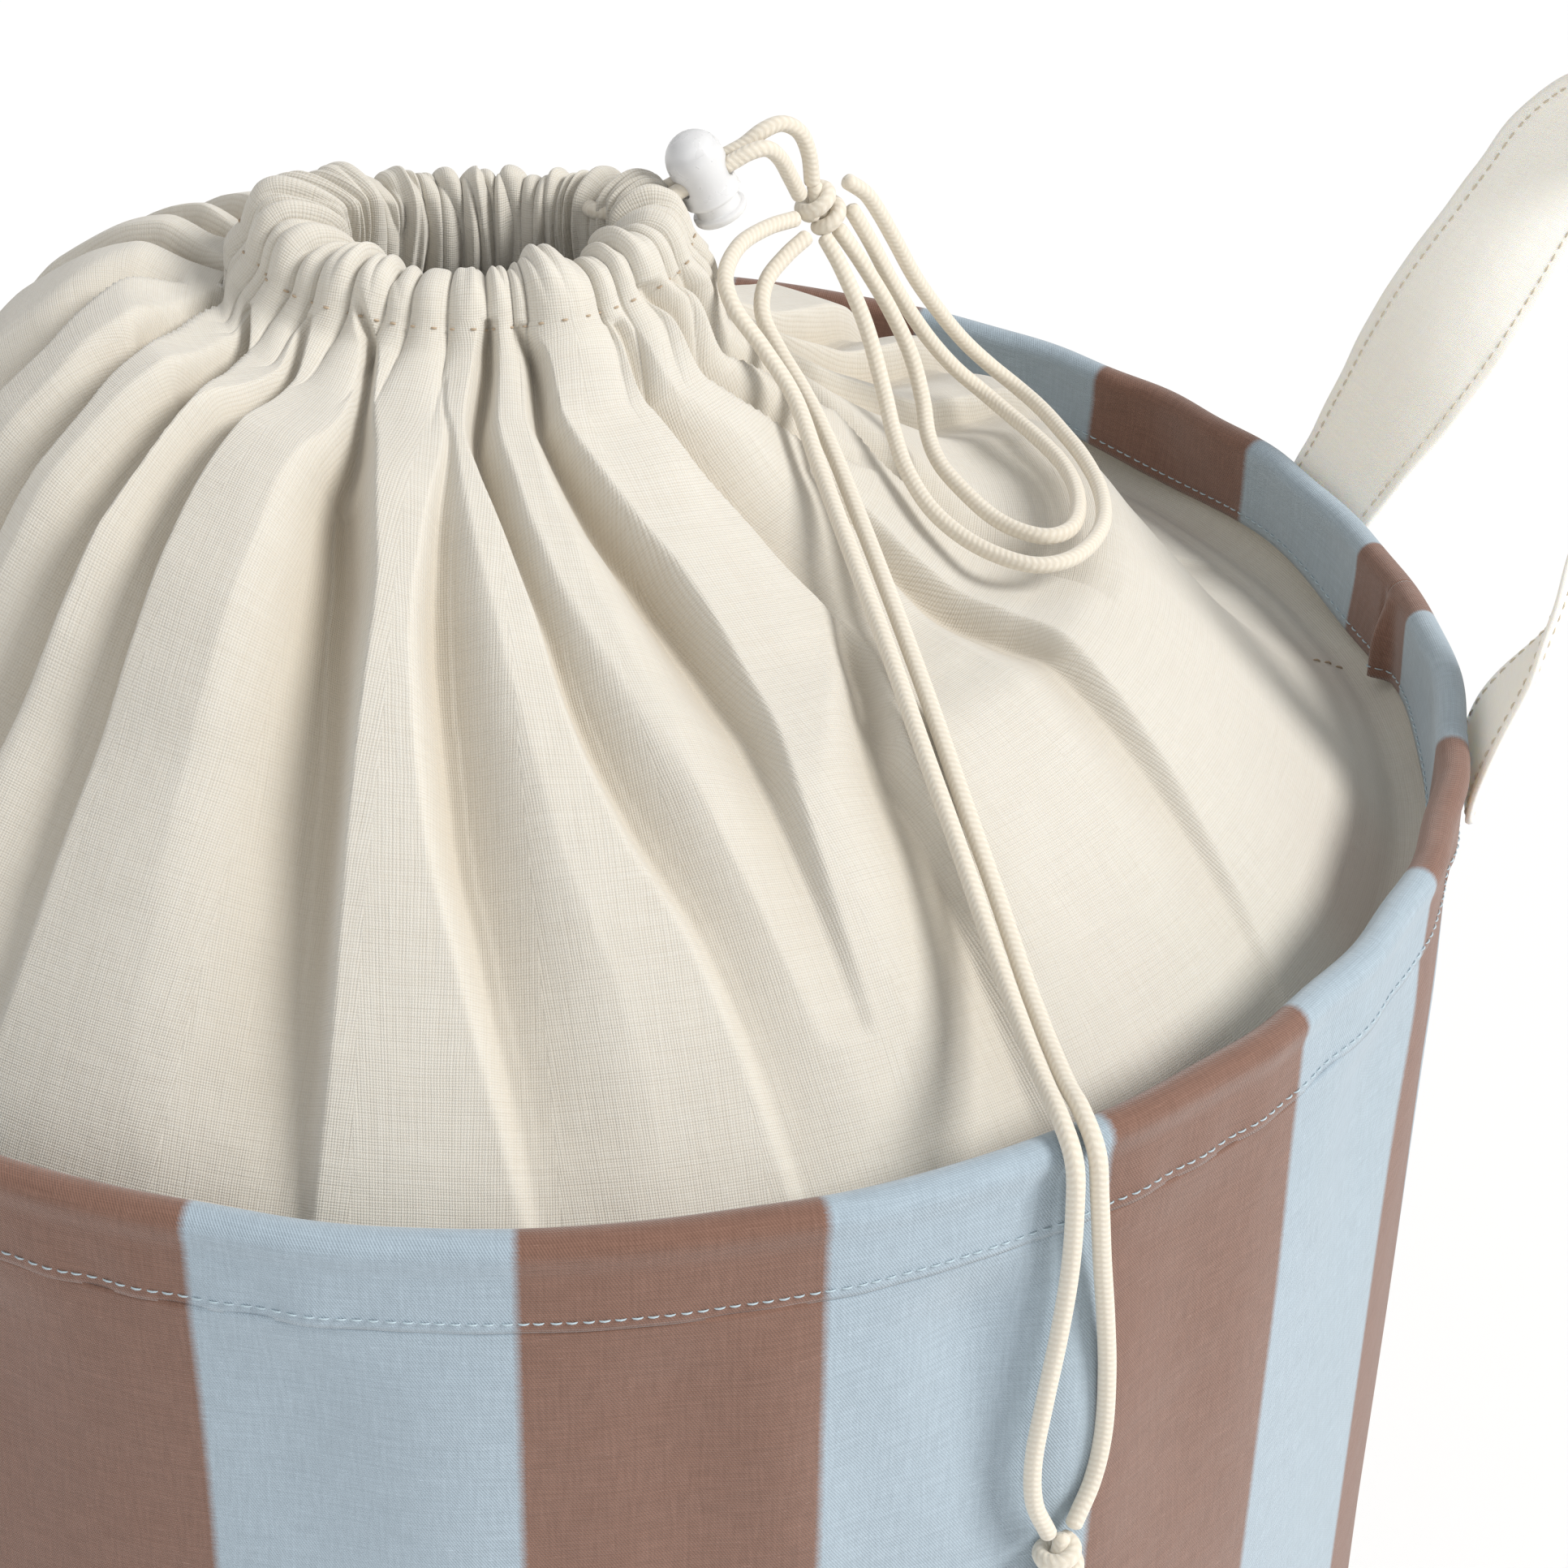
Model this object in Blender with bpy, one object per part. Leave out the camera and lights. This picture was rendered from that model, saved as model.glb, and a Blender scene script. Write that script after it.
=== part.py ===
"""A round drawstring laundry bag.

Striped canvas walls hang from a steel hoop in a folded hem. A gathered cotton cover is sewn in
under the hem and closed by a drawcord, which runs round a casing and out through a sprung cord
lock. Two cotton straps are sewn to the outside as handles.

Metres, +Z up. The origin is the centre of the underside, -Y is the front and +X the right.
An azimuth is measured from the front towards the right, seen from above, in degrees.
"""

import math

import bmesh
import bpy
import numpy as np
from mathutils import Matrix, Vector

MM = 0.001
GAP = 0.3 * MM

# Bag
RIM_HEIGHT = 500 * MM
WALL_RADIUS = 220 * MM
CANVAS = 1.1 * MM
BASE_THICKNESS = 2.0 * MM
PANEL_STEPS = 32
SEAM_AZIMUTH = 94.85

# Hem and hoop
HEM_DEPTH = 22 * MM
HOOP_RADIUS = 217.2 * MM
HOOP_WIRE = 3.0 * MM
HOOP_STEPS = 60
HEM_FOLD_RADIUS = 3.8 * MM
HEM_BOTTOM_RADIUS = 215.8 * MM
FERRULE_AZIMUTH = 111.7
FERRULE_LENGTH = 10 * MM
FERRULE_BORE = 3.5 * MM
FERRULE_WIDTH = 4.1 * MM

# Cover: radius, height over the rim, and how much fuller the left side stands, in millimetres
COVER_PROFILE = (
    (217.2, -22.3, 0.0),
    (215.0, -26.2, 0.0),
    (208.0, -30.0, 0.0),
    (195.0, -16.1, 0.0),
    (170.0, 11.7, 0.0),
    (140.0, 38.7, 4.0),
    (110.0, 59.8, 22.0),
    (80.0, 76.2, 19.8),
    (55.0, 84.8, 4.0),
    (37.5, 88.8, 0.0),
)
COVER_DROP = 1.6 * MM
COVER_STEPS = 60
MOUTH_CENTRE = Vector((-11 * MM, 3 * MM, 0))
MOUTH_SQUASH = 0.14
MOUTH_FROM_RADIUS = 208 * MM
MOUTH_TO_RADIUS = 50 * MM
SQUASH_FROM_RADIUS = 80 * MM
# The wide gutter on the right: how many millimetres the cover has sunk there at each radius in millimetres
SLACK = ((142, 0), (150, 7), (160, 14), (172, 19), (182, 18), (190, 13), (200, 5), (206, 0))
SLACK_AZIMUTH = 112
SLACK_SPREAD = 28

# Casing round the mouth, and the drawcord in it
CASING_INNER_X = 28.0 * MM
CASING_INNER_Y = 22.5 * MM
CASING_THICKNESS = 9.0 * MM
CASING_BOTTOM = RIM_HEIGHT + 86.8 * MM
CASING_TOP = RIM_HEIGHT + 110 * MM
CASING_STEPS = 44
CHANNEL_HEIGHT = RIM_HEIGHT + 102 * MM
CHANNEL_DIAMETER = 5.0 * MM
CORD = 3.8 * MM
CORD_EXIT_AZIMUTH = 110.0
CORD_EXIT_HALF_ANGLE = 17.0
SLIT_TURN = 17.0
SLIT_DEPTH = (-1.2 * MM, 9.0 * MM)
SLIT_HALF_LENGTH = 11.0 * MM
SLIT_HEIGHT = (-2.6 * MM, 4.6 * MM)

# Cord lock
LOCK_CENTRE = Vector((41.3 * MM, 17.0 * MM, RIM_HEIGHT + 111 * MM))
LOCK_LEAN = 25.0
LOCK_TURN = 12.0
BARREL_RADIUS = 6.8 * MM
BARREL_BORE = 5.6 * MM
BARREL_BOTTOM = -6.0 * MM
HEAD_START = 4.0 * MM
BORE_TOP = 6.9 * MM
POCKET_RADIUS = 3.2 * MM
POCKET_TOP = 9.3 * MM
CORD_HOLE_WIDTH = 8.8 * MM
CORD_HOLE_HEIGHT = 4.5 * MM
PLUNGER_RADIUS = 5.3 * MM
PLUNGER_TOP = 3.6 * MM
PLUNGER_TRAVEL = 3.0 * MM
FLANGE_RADIUS = 6.4 * MM
FLANGE_TOP = -9.4 * MM
FLANGE_BOTTOM = -11.2 * MM
SPRING_WIRE = 0.6 * MM
SPRING_RADIUS = 2.2 * MM
SPRING_TURNS = 3.5
SPRING_POINTS_PER_TURN = 12

# Handles
HANDLE_AZIMUTH = 94.0
HANDLE_HALF_SPREAD = 60.0 * MM
HANDLE_LEG = 105 * MM
HANDLE_ARCH = 40 * MM
HANDLE_TILT = 28.0
STRAP_WIDTH = 35 * MM
STRAP_THICKNESS = 1.8 * MM
HANDLE_SPLIT = 18.0 * MM
HANDLE_SPLIT_GAP = 4.0 * MM
LEAN_RADIUS = 214.0 * MM
LEAN_HEIGHT = RIM_HEIGHT - 10 * MM
STRAP_END_AZIMUTH = 15.66
STRAP_ON_HEM_RADIUS = 222.4 * MM
STRAP_END_BOTTOM = RIM_HEIGHT - HEM_DEPTH + 0.8 * MM
STRAP_END_TOP = LEAN_HEIGHT - 6 * MM
STRAP_LEAN_HEIGHTS = (2 * MM, 7 * MM, 12 * MM)

# Knots
KNOT_CENTRE = Vector((69.6 * MM, 29.6 * MM, RIM_HEIGHT + 97 * MM))
KNOT_RADII = (6.3 * MM, 5.9 * MM, 6.0 * MM)
END_KNOT_CENTRE = Vector((100.2 * MM, -203.0 * MM, RIM_HEIGHT - 105 * MM))
END_KNOT_RADII = (6.2 * MM, 5.0 * MM, 6.6 * MM)
CUT_END_LENGTH = 18 * MM

# Routes of the free cord, in millimetres. The free cord is one piece on the real bag: each of its
# two strands leaves the casing, passes the lock and the knot, makes a loop through the knot, and
# ends in the knot at the front.
LEAD_UPPER = (
    (17.0, 18.1, 602.0), (20.5, 16.6, 602.2), (24.5, 16.4, 603.4), (29.5, 17.1, 605.7),
    (34.7, 17.8, 608.1), (47.1, 20.4, 614.0), (51.1, 21.3, 615.9), (55.4, 22.5, 618.8),
    (60.0, 24.4, 619.7), (64.2, 26.2, 616.8), (66.6, 27.6, 611.0), (67.6, 28.6, 603.8),
)
LEAD_LOWER = (
    (21.8, 6.2, 602.0), (23.1, 8.7, 602.1), (25.6, 10.7, 602.9), (30.0, 12.1, 605.3),
    (35.5, 13.5, 608.1), (48.0, 16.2, 614.0), (52.0, 17.0, 615.9), (56.0, 18.6, 616.1),
    (59.3, 21.3, 612.6), (62.0, 24.2, 607.0), (64.6, 27.0, 601.2),
)
LOOP_OUTER = (
    (70.9, 26.5, 590.4), (74.6, 22.2, 584.2), (79.5, 15.0, 573.5), (82.8, 5.0, 562.0),
    (84.0, -6.0, 556.5), (85.8, -18.0, 552.5), (90.0, -29.0, 548.5), (96.5, -37.5, 545.5),
    (104.0, -44.0, 544.0), (111.5, -47.5, 543.5), (119.0, -45.5, 543.5), (125.5, -38.0, 543.5),
    (130.3, -26.0, 543.0), (132.0, -11.0, 543.0), (130.8, 5.0, 543.0), (128.0, 19.0, 543.0),
    (124.8, 31.0, 543.3), (120.3, 39.5, 544.8), (113.8, 43.0, 549.3), (107.3, 42.0, 556.0),
    (101.0, 39.8, 564.3), (94.0, 37.0, 575.0), (88.3, 35.3, 585.8), (84.4, 34.3, 593.0),
    (80.8, 33.4, 598.5), (76.3, 32.1, 602.2),
)
LOOP_INNER = (
    (74.3, 30.0, 591.2), (79.7, 28.2, 583.5), (86.0, 25.0, 573.5), (91.0, 20.5, 563.5),
    (93.2, 13.0, 555.5), (93.4, 3.0, 551.0), (95.0, -7.0, 548.5), (99.5, -16.5, 546.0),
    (105.0, -25.0, 543.8), (110.6, -31.0, 543.2), (116.6, -33.4, 543.0), (122.2, -29.8, 543.0),
    (125.4, -20.5, 543.0), (126.4, -9.0, 543.0), (125.2, 3.0, 543.0), (121.5, 16.0, 543.0),
    (116.5, 28.0, 543.5), (111.0, 35.5, 546.0), (104.0, 36.8, 552.0), (96.5, 35.5, 561.5),
    (88.5, 33.8, 574.5), (82.3, 32.8, 586.5), (77.4, 32.0, 595.2),
)
TAIL_LEFT = (
    (63.4, 24.9, 596.2), (56.5, 19.5, 596.5), (49.5, 12.0, 595.5), (45.6, 2.5, 592.5),
    (47.0, -5.5, 588.0), (53.0, -11.0, 580.8), (59.5, -20.0, 572.4), (63.5, -38.0, 564.0),
    (68.0, -64.0, 556.2), (72.8, -90.0, 548.0), (77.5, -115.0, 538.4), (82.5, -134.0, 527.4),
    (88.0, -157.0, 514.5), (92.5, -181.0, 506.5), (95.2, -194.5, 503.6), (97.2, -201.2, 498.0),
    (97.8, -202.6, 488.0), (97.9, -202.4, 472.0), (96.7, -202.8, 456.0), (94.8, -203.6, 440.0),
    (93.2, -204.3, 424.0), (94.0, -204.2, 412.0), (97.6, -203.4, 402.4),
)
TAIL_RIGHT = (
    (66.0, 24.0, 591.9), (61.0, 20.0, 589.2), (56.0, 14.0, 585.6), (54.5, 6.0, 581.2),
    (57.5, -2.0, 576.0), (62.6, -12.0, 569.8), (67.0, -27.0, 564.0), (71.3, -50.0, 557.4),
    (75.6, -75.0, 550.4), (80.0, -100.0, 542.4), (84.5, -122.0, 532.4), (89.5, -141.0, 520.6),
    (94.0, -164.0, 510.2), (97.6, -184.0, 505.0), (99.7, -192.6, 503.6), (101.9, -199.3, 498.4),
    (103.0, -200.4, 488.0), (104.8, -199.0, 472.0), (106.8, -197.9, 456.0),
    (108.4, -197.0, 440.0), (108.8, -197.0, 424.0), (107.2, -198.2, 412.0),
    (103.4, -201.0, 402.4),
)


def direction(azimuth):
    """The horizontal unit vector at an azimuth."""
    angle = math.radians(azimuth)
    return Vector((math.sin(angle), -math.cos(angle), 0))


def material(name, colour, roughness, metallic=0.0):
    """A Principled material of one colour."""
    made = bpy.data.materials.new(name)
    made.use_nodes = True
    shader = made.node_tree.nodes["Principled BSDF"]
    shader.inputs["Base Color"].default_value = (*colour, 1)
    shader.inputs["Roughness"].default_value = roughness
    shader.inputs["Metallic"].default_value = metallic
    return made


def add_object(name, data, finish, parent=None):
    """Links an object of that data, with its own material."""
    made = bpy.data.objects.new(name, data)
    data.materials.append(material(name, *finish))
    bpy.context.scene.collection.objects.link(made)
    made.parent = parent
    return made


def add_empty(name, location, rotation_degrees):
    """An empty that places the pieces parented to it."""
    made = bpy.data.objects.new(name, None)
    made.location = location
    made.rotation_euler = [math.radians(angle) for angle in rotation_degrees]
    bpy.context.scene.collection.objects.link(made)
    return made


def add_mesh(name, points, faces, finish, parent=None):
    """A closed mesh from points and faces, with its faces turned outwards and shaded smooth."""
    data = bpy.data.meshes.new(name)
    data.from_pydata([tuple(point) for point in points], [], faces)
    shape = bmesh.new()
    shape.from_mesh(data)
    bmesh.ops.remove_doubles(shape, verts=shape.verts, dist=1e-6)
    bmesh.ops.recalc_face_normals(shape, faces=shape.faces)
    shape.to_mesh(data)
    shape.free()
    data.shade_smooth()
    data.set_sharp_from_angle(angle=math.radians(40))
    return add_object(name, data, finish, parent)


def loft(name, sections, finish, closed=False, parent=None, twisted=False):
    """Joins closed sections of equal length in order, round to the first one or capped at both ends.

    Twisted quads are split into flat triangles.
    """
    count, size = len(sections), len(sections[0])
    points = [point for section in sections for point in section]
    faces = []
    for row in range(count if closed else count - 1):
        after = (row + 1) % count
        for column in range(size):
            beside = (column + 1) % size
            quad = (
                row * size + column,
                row * size + beside,
                after * size + beside,
                after * size + column,
            )
            if twisted:
                faces.extend((quad[:3], (quad[0], quad[2], quad[3])))
            else:
                faces.append(quad)
    if not closed:
        faces.append(tuple(range(size)))
        faces.append(tuple(range((count - 1) * size, count * size)))
    return add_mesh(name, points, faces, finish, parent)


def lathe(name, profile, steps, finish, ring=False, parent=None):
    """Turns a profile of (radius, height) about Z. It starts and ends on the axis, or is a ring."""
    sections = []
    for step in range(steps):
        out = direction(360 * step / steps)
        sections.append([out * radius + Vector((0, 0, height)) for radius, height in profile])
    count, size = steps, len(profile)
    points = [point for section in sections for point in section]
    faces = []
    for row in range(count):
        after = (row + 1) % count
        for column in range(size if ring else size - 1):
            beside = (column + 1) % size
            corners = [
                (row, column),
                (row, beside),
                (after, beside),
                (after, column),
            ]
            distinct = [
                (r if profile[c][0] > 0 else 0) * size + c for r, c in corners
            ]
            faces.append(tuple(dict.fromkeys(distinct)))
    return add_mesh(name, points, faces, finish, parent)


def cut(target, cutter):
    """Takes the cutter's shape out of the target."""
    cutter.hide_render = True
    cutter.display_type = "WIRE"
    modifier = target.modifiers.new("cut", "BOOLEAN")
    modifier.operation = "DIFFERENCE"
    modifier.solver = "EXACT"
    modifier.object = cutter


def box_cutter(name, low, high, parent=None):
    """A box between two corners, for cutting."""
    points = [(x, y, z) for x in (low[0], high[0]) for y in (low[1], high[1]) for z in (low[2], high[2])]
    faces = [(0, 1, 3, 2), (4, 6, 7, 5), (0, 4, 5, 1), (2, 3, 7, 6), (0, 2, 6, 4), (1, 5, 7, 3)]
    return add_mesh(name, points, faces, CLOTH_CREAM, parent)


def smooth_route(points, spacing):
    """Evenly spaced points on a smooth curve through the given ones."""
    through = np.array(points, float)
    padded = np.vstack([2 * through[0] - through[1], through, 2 * through[-1] - through[-2]])
    fine = []
    for a, b, c, d in zip(padded, padded[1:], padded[2:], padded[3:]):
        for t in np.linspace(0, 1, 12, endpoint=False):
            fine.append(0.5 * (
                2 * b
                + (c - a) * t
                + (2 * a - 5 * b + 4 * c - d) * t ** 2
                + (3 * b - a - 3 * c + d) * t ** 3
            ))
    fine = np.array(fine + [through[-1]])
    along = np.concatenate([[0], np.cumsum(np.linalg.norm(np.diff(fine, axis=0), axis=1))])
    count = max(3, round(along[-1] / spacing) + 1)
    even = np.linspace(0, along[-1], count)
    return np.column_stack([np.interp(even, along, fine[:, axis]) for axis in range(3)])


def tube(name, points, diameter, finish, sides_resolution=2, parent=None):
    """A round tube with flat ends along the points."""
    data = bpy.data.curves.new(name, "CURVE")
    data.dimensions = "3D"
    data.bevel_depth = diameter / 2
    data.bevel_resolution = sides_resolution
    data.use_fill_caps = True
    data.render_resolution_u = 0
    spline = data.splines.new("POLY")
    spline.points.add(len(points) - 1)
    for target, point in zip(spline.points, points):
        target.co = (*point, 1)
    return add_object(name, data, finish, parent)


def cord(name, route_mm, finish):
    """A stretch of the free cord along its route."""
    return tube(name, smooth_route(route_mm, 2.2 * CORD / MM) * MM, CORD, finish)


# Colour, roughness and metallic value of each kind of piece
CLOTH_CREAM = ((0.80, 0.74, 0.62), 0.9)
CANVAS_STRIPED = ((0.42, 0.27, 0.22), 0.9)
STRAP_CREAM = ((0.78, 0.72, 0.62), 0.9)
CORD_CREAM = ((0.70, 0.62, 0.50), 0.9)
PLASTIC_WHITE = ((0.86, 0.86, 0.88), 0.35)
STEEL = ((0.62, 0.62, 0.64), 0.3, 1.0)


def make_base():
    """The round canvas bottom."""
    radius = WALL_RADIUS - CANVAS - 3 * GAP
    profile = [(0, BASE_THICKNESS), (radius, BASE_THICKNESS), (radius, 0), (0, 0)]
    lathe("bag_base", profile, 60, CANVAS_STRIPED)


def panel_azimuths(first):
    """The steps of one of the two panels, from seam to seam with half a gap at each."""
    margin = math.degrees(GAP / 2 / WALL_RADIUS)
    return np.linspace(first + margin, first + 180 - margin, PANEL_STEPS + 1)


def make_wall(name, first):
    """One striped panel, from the floor to the hem's stitch line."""
    top = RIM_HEIGHT - HEM_DEPTH
    sections = []
    for azimuth in panel_azimuths(first):
        out = direction(azimuth)
        inner, outer = out * (WALL_RADIUS - CANVAS), out * WALL_RADIUS
        rise = Vector((0, 0, top))
        sections.append([inner, outer, outer + rise, inner + rise])
    loft(name, sections, CANVAS_STRIPED)


def hem_profile():
    """The folded hem as (radius, height): up the outside, over the hoop, down the inside and back."""
    middle = RIM_HEIGHT - HEM_FOLD_RADIUS
    bottom = RIM_HEIGHT - HEM_DEPTH + GAP
    fold = []
    outer_turns, inner_turns = range(0, 181, 45), range(180, -1, -45)
    for radius, angles in ((HEM_FOLD_RADIUS, outer_turns), (HEM_FOLD_RADIUS - CANVAS, inner_turns)):
        for angle in angles:
            turn = math.radians(angle)
            fold.append((HOOP_RADIUS + radius * math.cos(turn), middle + radius * math.sin(turn)))
    outside, inside = fold[:5], fold[5:]
    return [
        (WALL_RADIUS, bottom),
        *outside,
        (HEM_BOTTOM_RADIUS, bottom),
        (HEM_BOTTOM_RADIUS + CANVAS, bottom),
        *inside,
        (WALL_RADIUS - CANVAS, bottom),
    ]


def make_hem(name, first):
    """The hem of one panel, open below so that the hoop lies in its fold."""
    profile = hem_profile()
    sections = []
    for azimuth in panel_azimuths(first):
        out = direction(azimuth)
        sections.append([out * radius + Vector((0, 0, height)) for radius, height in profile])
    loft(name, sections, CANVAS_STRIPED)


def make_hoop():
    """The round wire in the hem, and the sleeve that joins its ends."""
    height = RIM_HEIGHT - HEM_FOLD_RADIUS
    margin = math.degrees(1 * MM / HOOP_RADIUS)
    step = 360 / HOOP_STEPS
    ends = (margin, step / 4)
    between = np.linspace(step / 2, 360 - step / 2, HOOP_STEPS)
    azimuths = FERRULE_AZIMUTH + np.array([*ends, *between, *(360 - end for end in reversed(ends))])
    points = [direction(azimuth) * HOOP_RADIUS + Vector((0, 0, height)) for azimuth in azimuths]
    tube("rim_hoop", points, HOOP_WIRE, STEEL)
    axis = add_empty(
        "hoop_ferrule_axis",
        direction(FERRULE_AZIMUTH) * HOOP_RADIUS + Vector((0, 0, height)),
        (90, 0, FERRULE_AZIMUTH + 90),
    )
    half = FERRULE_LENGTH / 2
    inner, outer = FERRULE_BORE / 2, FERRULE_WIDTH / 2
    profile = [(outer, half), (outer, -half), (inner, -half), (inner, half)]
    lathe("hoop_ferrule", profile, 16, STEEL, ring=True, parent=axis)


def cover_point(radius, height, fullness, azimuth):
    """A point of the cover's upper side. Towards the mouth it moves over the mouth's centre."""
    out = direction(azimuth)
    span = MOUTH_FROM_RADIUS - MOUTH_TO_RADIUS
    to_mouth = min(1, max(0, (MOUTH_FROM_RADIUS - radius) / span))
    squash_span = SQUASH_FROM_RADIUS - COVER_PROFILE[-1][0] * MM
    narrow = 1 - MOUTH_SQUASH * min(1, max(0, (SQUASH_FROM_RADIUS - radius) / squash_span))
    place = Vector((out.x * radius, out.y * radius * narrow, 0)) + MOUTH_CENTRE * to_mouth
    away = (azimuth - SLACK_AZIMUTH + 180) % 360 - 180
    sunk = np.interp(radius / MM, *zip(*SLACK)) * MM * math.exp(-(away / SLACK_SPREAD) ** 2)
    place.z = RIM_HEIGHT + height - fullness * out.x - sunk
    return place


def make_cover():
    """The cotton cover, from its seam under the hem over the dome to the casing."""
    upper = [[value * MM for value in ring] for ring in COVER_PROFILE]
    sections = []
    for step in range(COVER_STEPS):
        azimuth = 360 * step / COVER_STEPS
        top = [cover_point(*ring, azimuth) for ring in upper]
        under = [point - Vector((0, 0, COVER_DROP)) for point in reversed(top)]
        sections.append(top + under)
    loft("drawstring_cover", sections, CLOTH_CREAM, closed=True)


def mouth_point(outwards, azimuth, height):
    """A point outwards from the mouth's inner edge."""
    out = direction(azimuth)
    return Vector((
        MOUTH_CENTRE.x + out.x * (CASING_INNER_X + outwards),
        MOUTH_CENTRE.y + out.y * (CASING_INNER_Y + outwards),
        height,
    ))


def make_casing():
    """The folded band round the mouth, with its channel and the slit where the cord comes out."""
    width, edge = CASING_THICKNESS, 1.6 * MM
    outline = (
        (edge, CASING_BOTTOM),
        (width - edge, CASING_BOTTOM),
        (width, CASING_BOTTOM + edge),
        (width, CASING_TOP - 2 * edge),
        (width - edge, CASING_TOP - edge / 2),
        (width / 2, CASING_TOP),
        (edge, CASING_TOP - edge / 2),
        (0, CASING_TOP - 2 * edge),
        (0, CASING_BOTTOM + edge),
    )
    sections = []
    for step in range(CASING_STEPS):
        azimuth = 360 * step / CASING_STEPS
        sections.append([mouth_point(outwards, azimuth, height) for outwards, height in outline])
    casing = loft("drawstring_casing", sections, CLOTH_CREAM, closed=True)
    rounds = [math.radians(angle) for angle in range(0, 360, 45)]
    channel = []
    for step in range(CASING_STEPS):
        azimuth = 360 * (step + 0.5) / CASING_STEPS
        channel.append([
            mouth_point(
                width / 2 + CHANNEL_DIAMETER / 2 * math.cos(turn),
                azimuth,
                CHANNEL_HEIGHT + CHANNEL_DIAMETER / 2 * math.sin(turn),
            )
            for turn in rounds
        ])
    cut(casing, loft("channel_cutter", channel, CLOTH_CREAM, closed=True))
    middle = mouth_point(width / 2, CORD_EXIT_AZIMUTH, CHANNEL_HEIGHT)
    axis = add_empty("cord_slit_axis", middle, (0, 0, SLIT_TURN))
    low = (SLIT_DEPTH[0], -SLIT_HALF_LENGTH, SLIT_HEIGHT[0])
    high = (SLIT_DEPTH[1], SLIT_HALF_LENGTH, SLIT_HEIGHT[1])
    cut(casing, box_cutter("slit_cutter", low, high, axis))


def make_casing_cord():
    """The stretch of the drawcord that lies in the casing."""
    azimuths = np.linspace(
        CORD_EXIT_AZIMUTH + CORD_EXIT_HALF_ANGLE,
        CORD_EXIT_AZIMUTH + 360 - CORD_EXIT_HALF_ANGLE,
        34,
    )
    points = [mouth_point(CASING_THICKNESS / 2, azimuth, CHANNEL_HEIGHT) for azimuth in azimuths]
    tube("drawcord_in_casing", points, CORD, CORD_CREAM)


def make_cord_lock():
    """The sprung cord lock: a barrel over a plunger, both with a hole for the two cords."""
    axis = add_empty("cord_lock_axis", LOCK_CENTRE, (0, -LOCK_LEAN, LOCK_TURN))
    head = []
    for angle in (90, 75, 60, 45, 30, 15, 0):
        turn = math.radians(angle)
        radius = BARREL_RADIUS * math.cos(turn) if angle < 90 else 0
        head.append((radius, HEAD_START + BARREL_RADIUS * math.sin(turn)))
    barrel = lathe(
        "cord_lock_barrel",
        [
            *head,
            (BARREL_RADIUS, BARREL_BOTTOM),
            (BARREL_BORE, BARREL_BOTTOM),
            (BARREL_BORE, BORE_TOP),
            (POCKET_RADIUS, BORE_TOP),
            (POCKET_RADIUS, POCKET_TOP),
            (0, POCKET_TOP),
        ],
        24,
        PLASTIC_WHITE,
        parent=axis,
    )
    half_width, half_height, reach = CORD_HOLE_WIDTH / 2, CORD_HOLE_HEIGHT / 2, 10 * MM
    top = (reach, half_width, half_height)
    cut(barrel, box_cutter("barrel_hole", (-reach, -half_width, -half_height), top, axis))
    plunger = lathe(
        "cord_lock_plunger",
        [
            (0, PLUNGER_TOP),
            (PLUNGER_RADIUS, PLUNGER_TOP),
            (PLUNGER_RADIUS, FLANGE_TOP),
            (FLANGE_RADIUS, FLANGE_TOP),
            (FLANGE_RADIUS, FLANGE_BOTTOM),
            (0, FLANGE_BOTTOM),
        ],
        24,
        PLASTIC_WHITE,
        parent=axis,
    )
    slot_low = -half_height - PLUNGER_TRAVEL
    cut(plunger, box_cutter("plunger_slot", (-reach, -half_width, slot_low), top, axis))
    low = PLUNGER_TOP + SPRING_WIRE / 2 + 0.2 * MM
    high = POCKET_TOP - SPRING_WIRE / 2 - 0.2 * MM
    coil = []
    steps = round(SPRING_TURNS * SPRING_POINTS_PER_TURN)
    for step in range(steps + 1):
        turn = 2 * math.pi * step / SPRING_POINTS_PER_TURN
        height = low + (high - low) * step / steps
        coil.append((SPRING_RADIUS * math.cos(turn), SPRING_RADIUS * math.sin(turn), height))
    tube("cord_lock_spring", coil, SPRING_WIRE, STEEL, sides_resolution=1, parent=axis)


def knot_mesh(name, centre, radii, finish):
    """A knot as a plain rounded solid."""
    shape = bmesh.new()
    bmesh.ops.create_uvsphere(shape, u_segments=14, v_segments=8, radius=1)
    for vertex in shape.verts:
        vertex.co = Vector([a * b for a, b in zip(vertex.co, radii)]) + centre
    data = bpy.data.meshes.new(name)
    shape.to_mesh(data)
    shape.free()
    data.shade_smooth()
    return add_object(name, data, finish)


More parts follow.
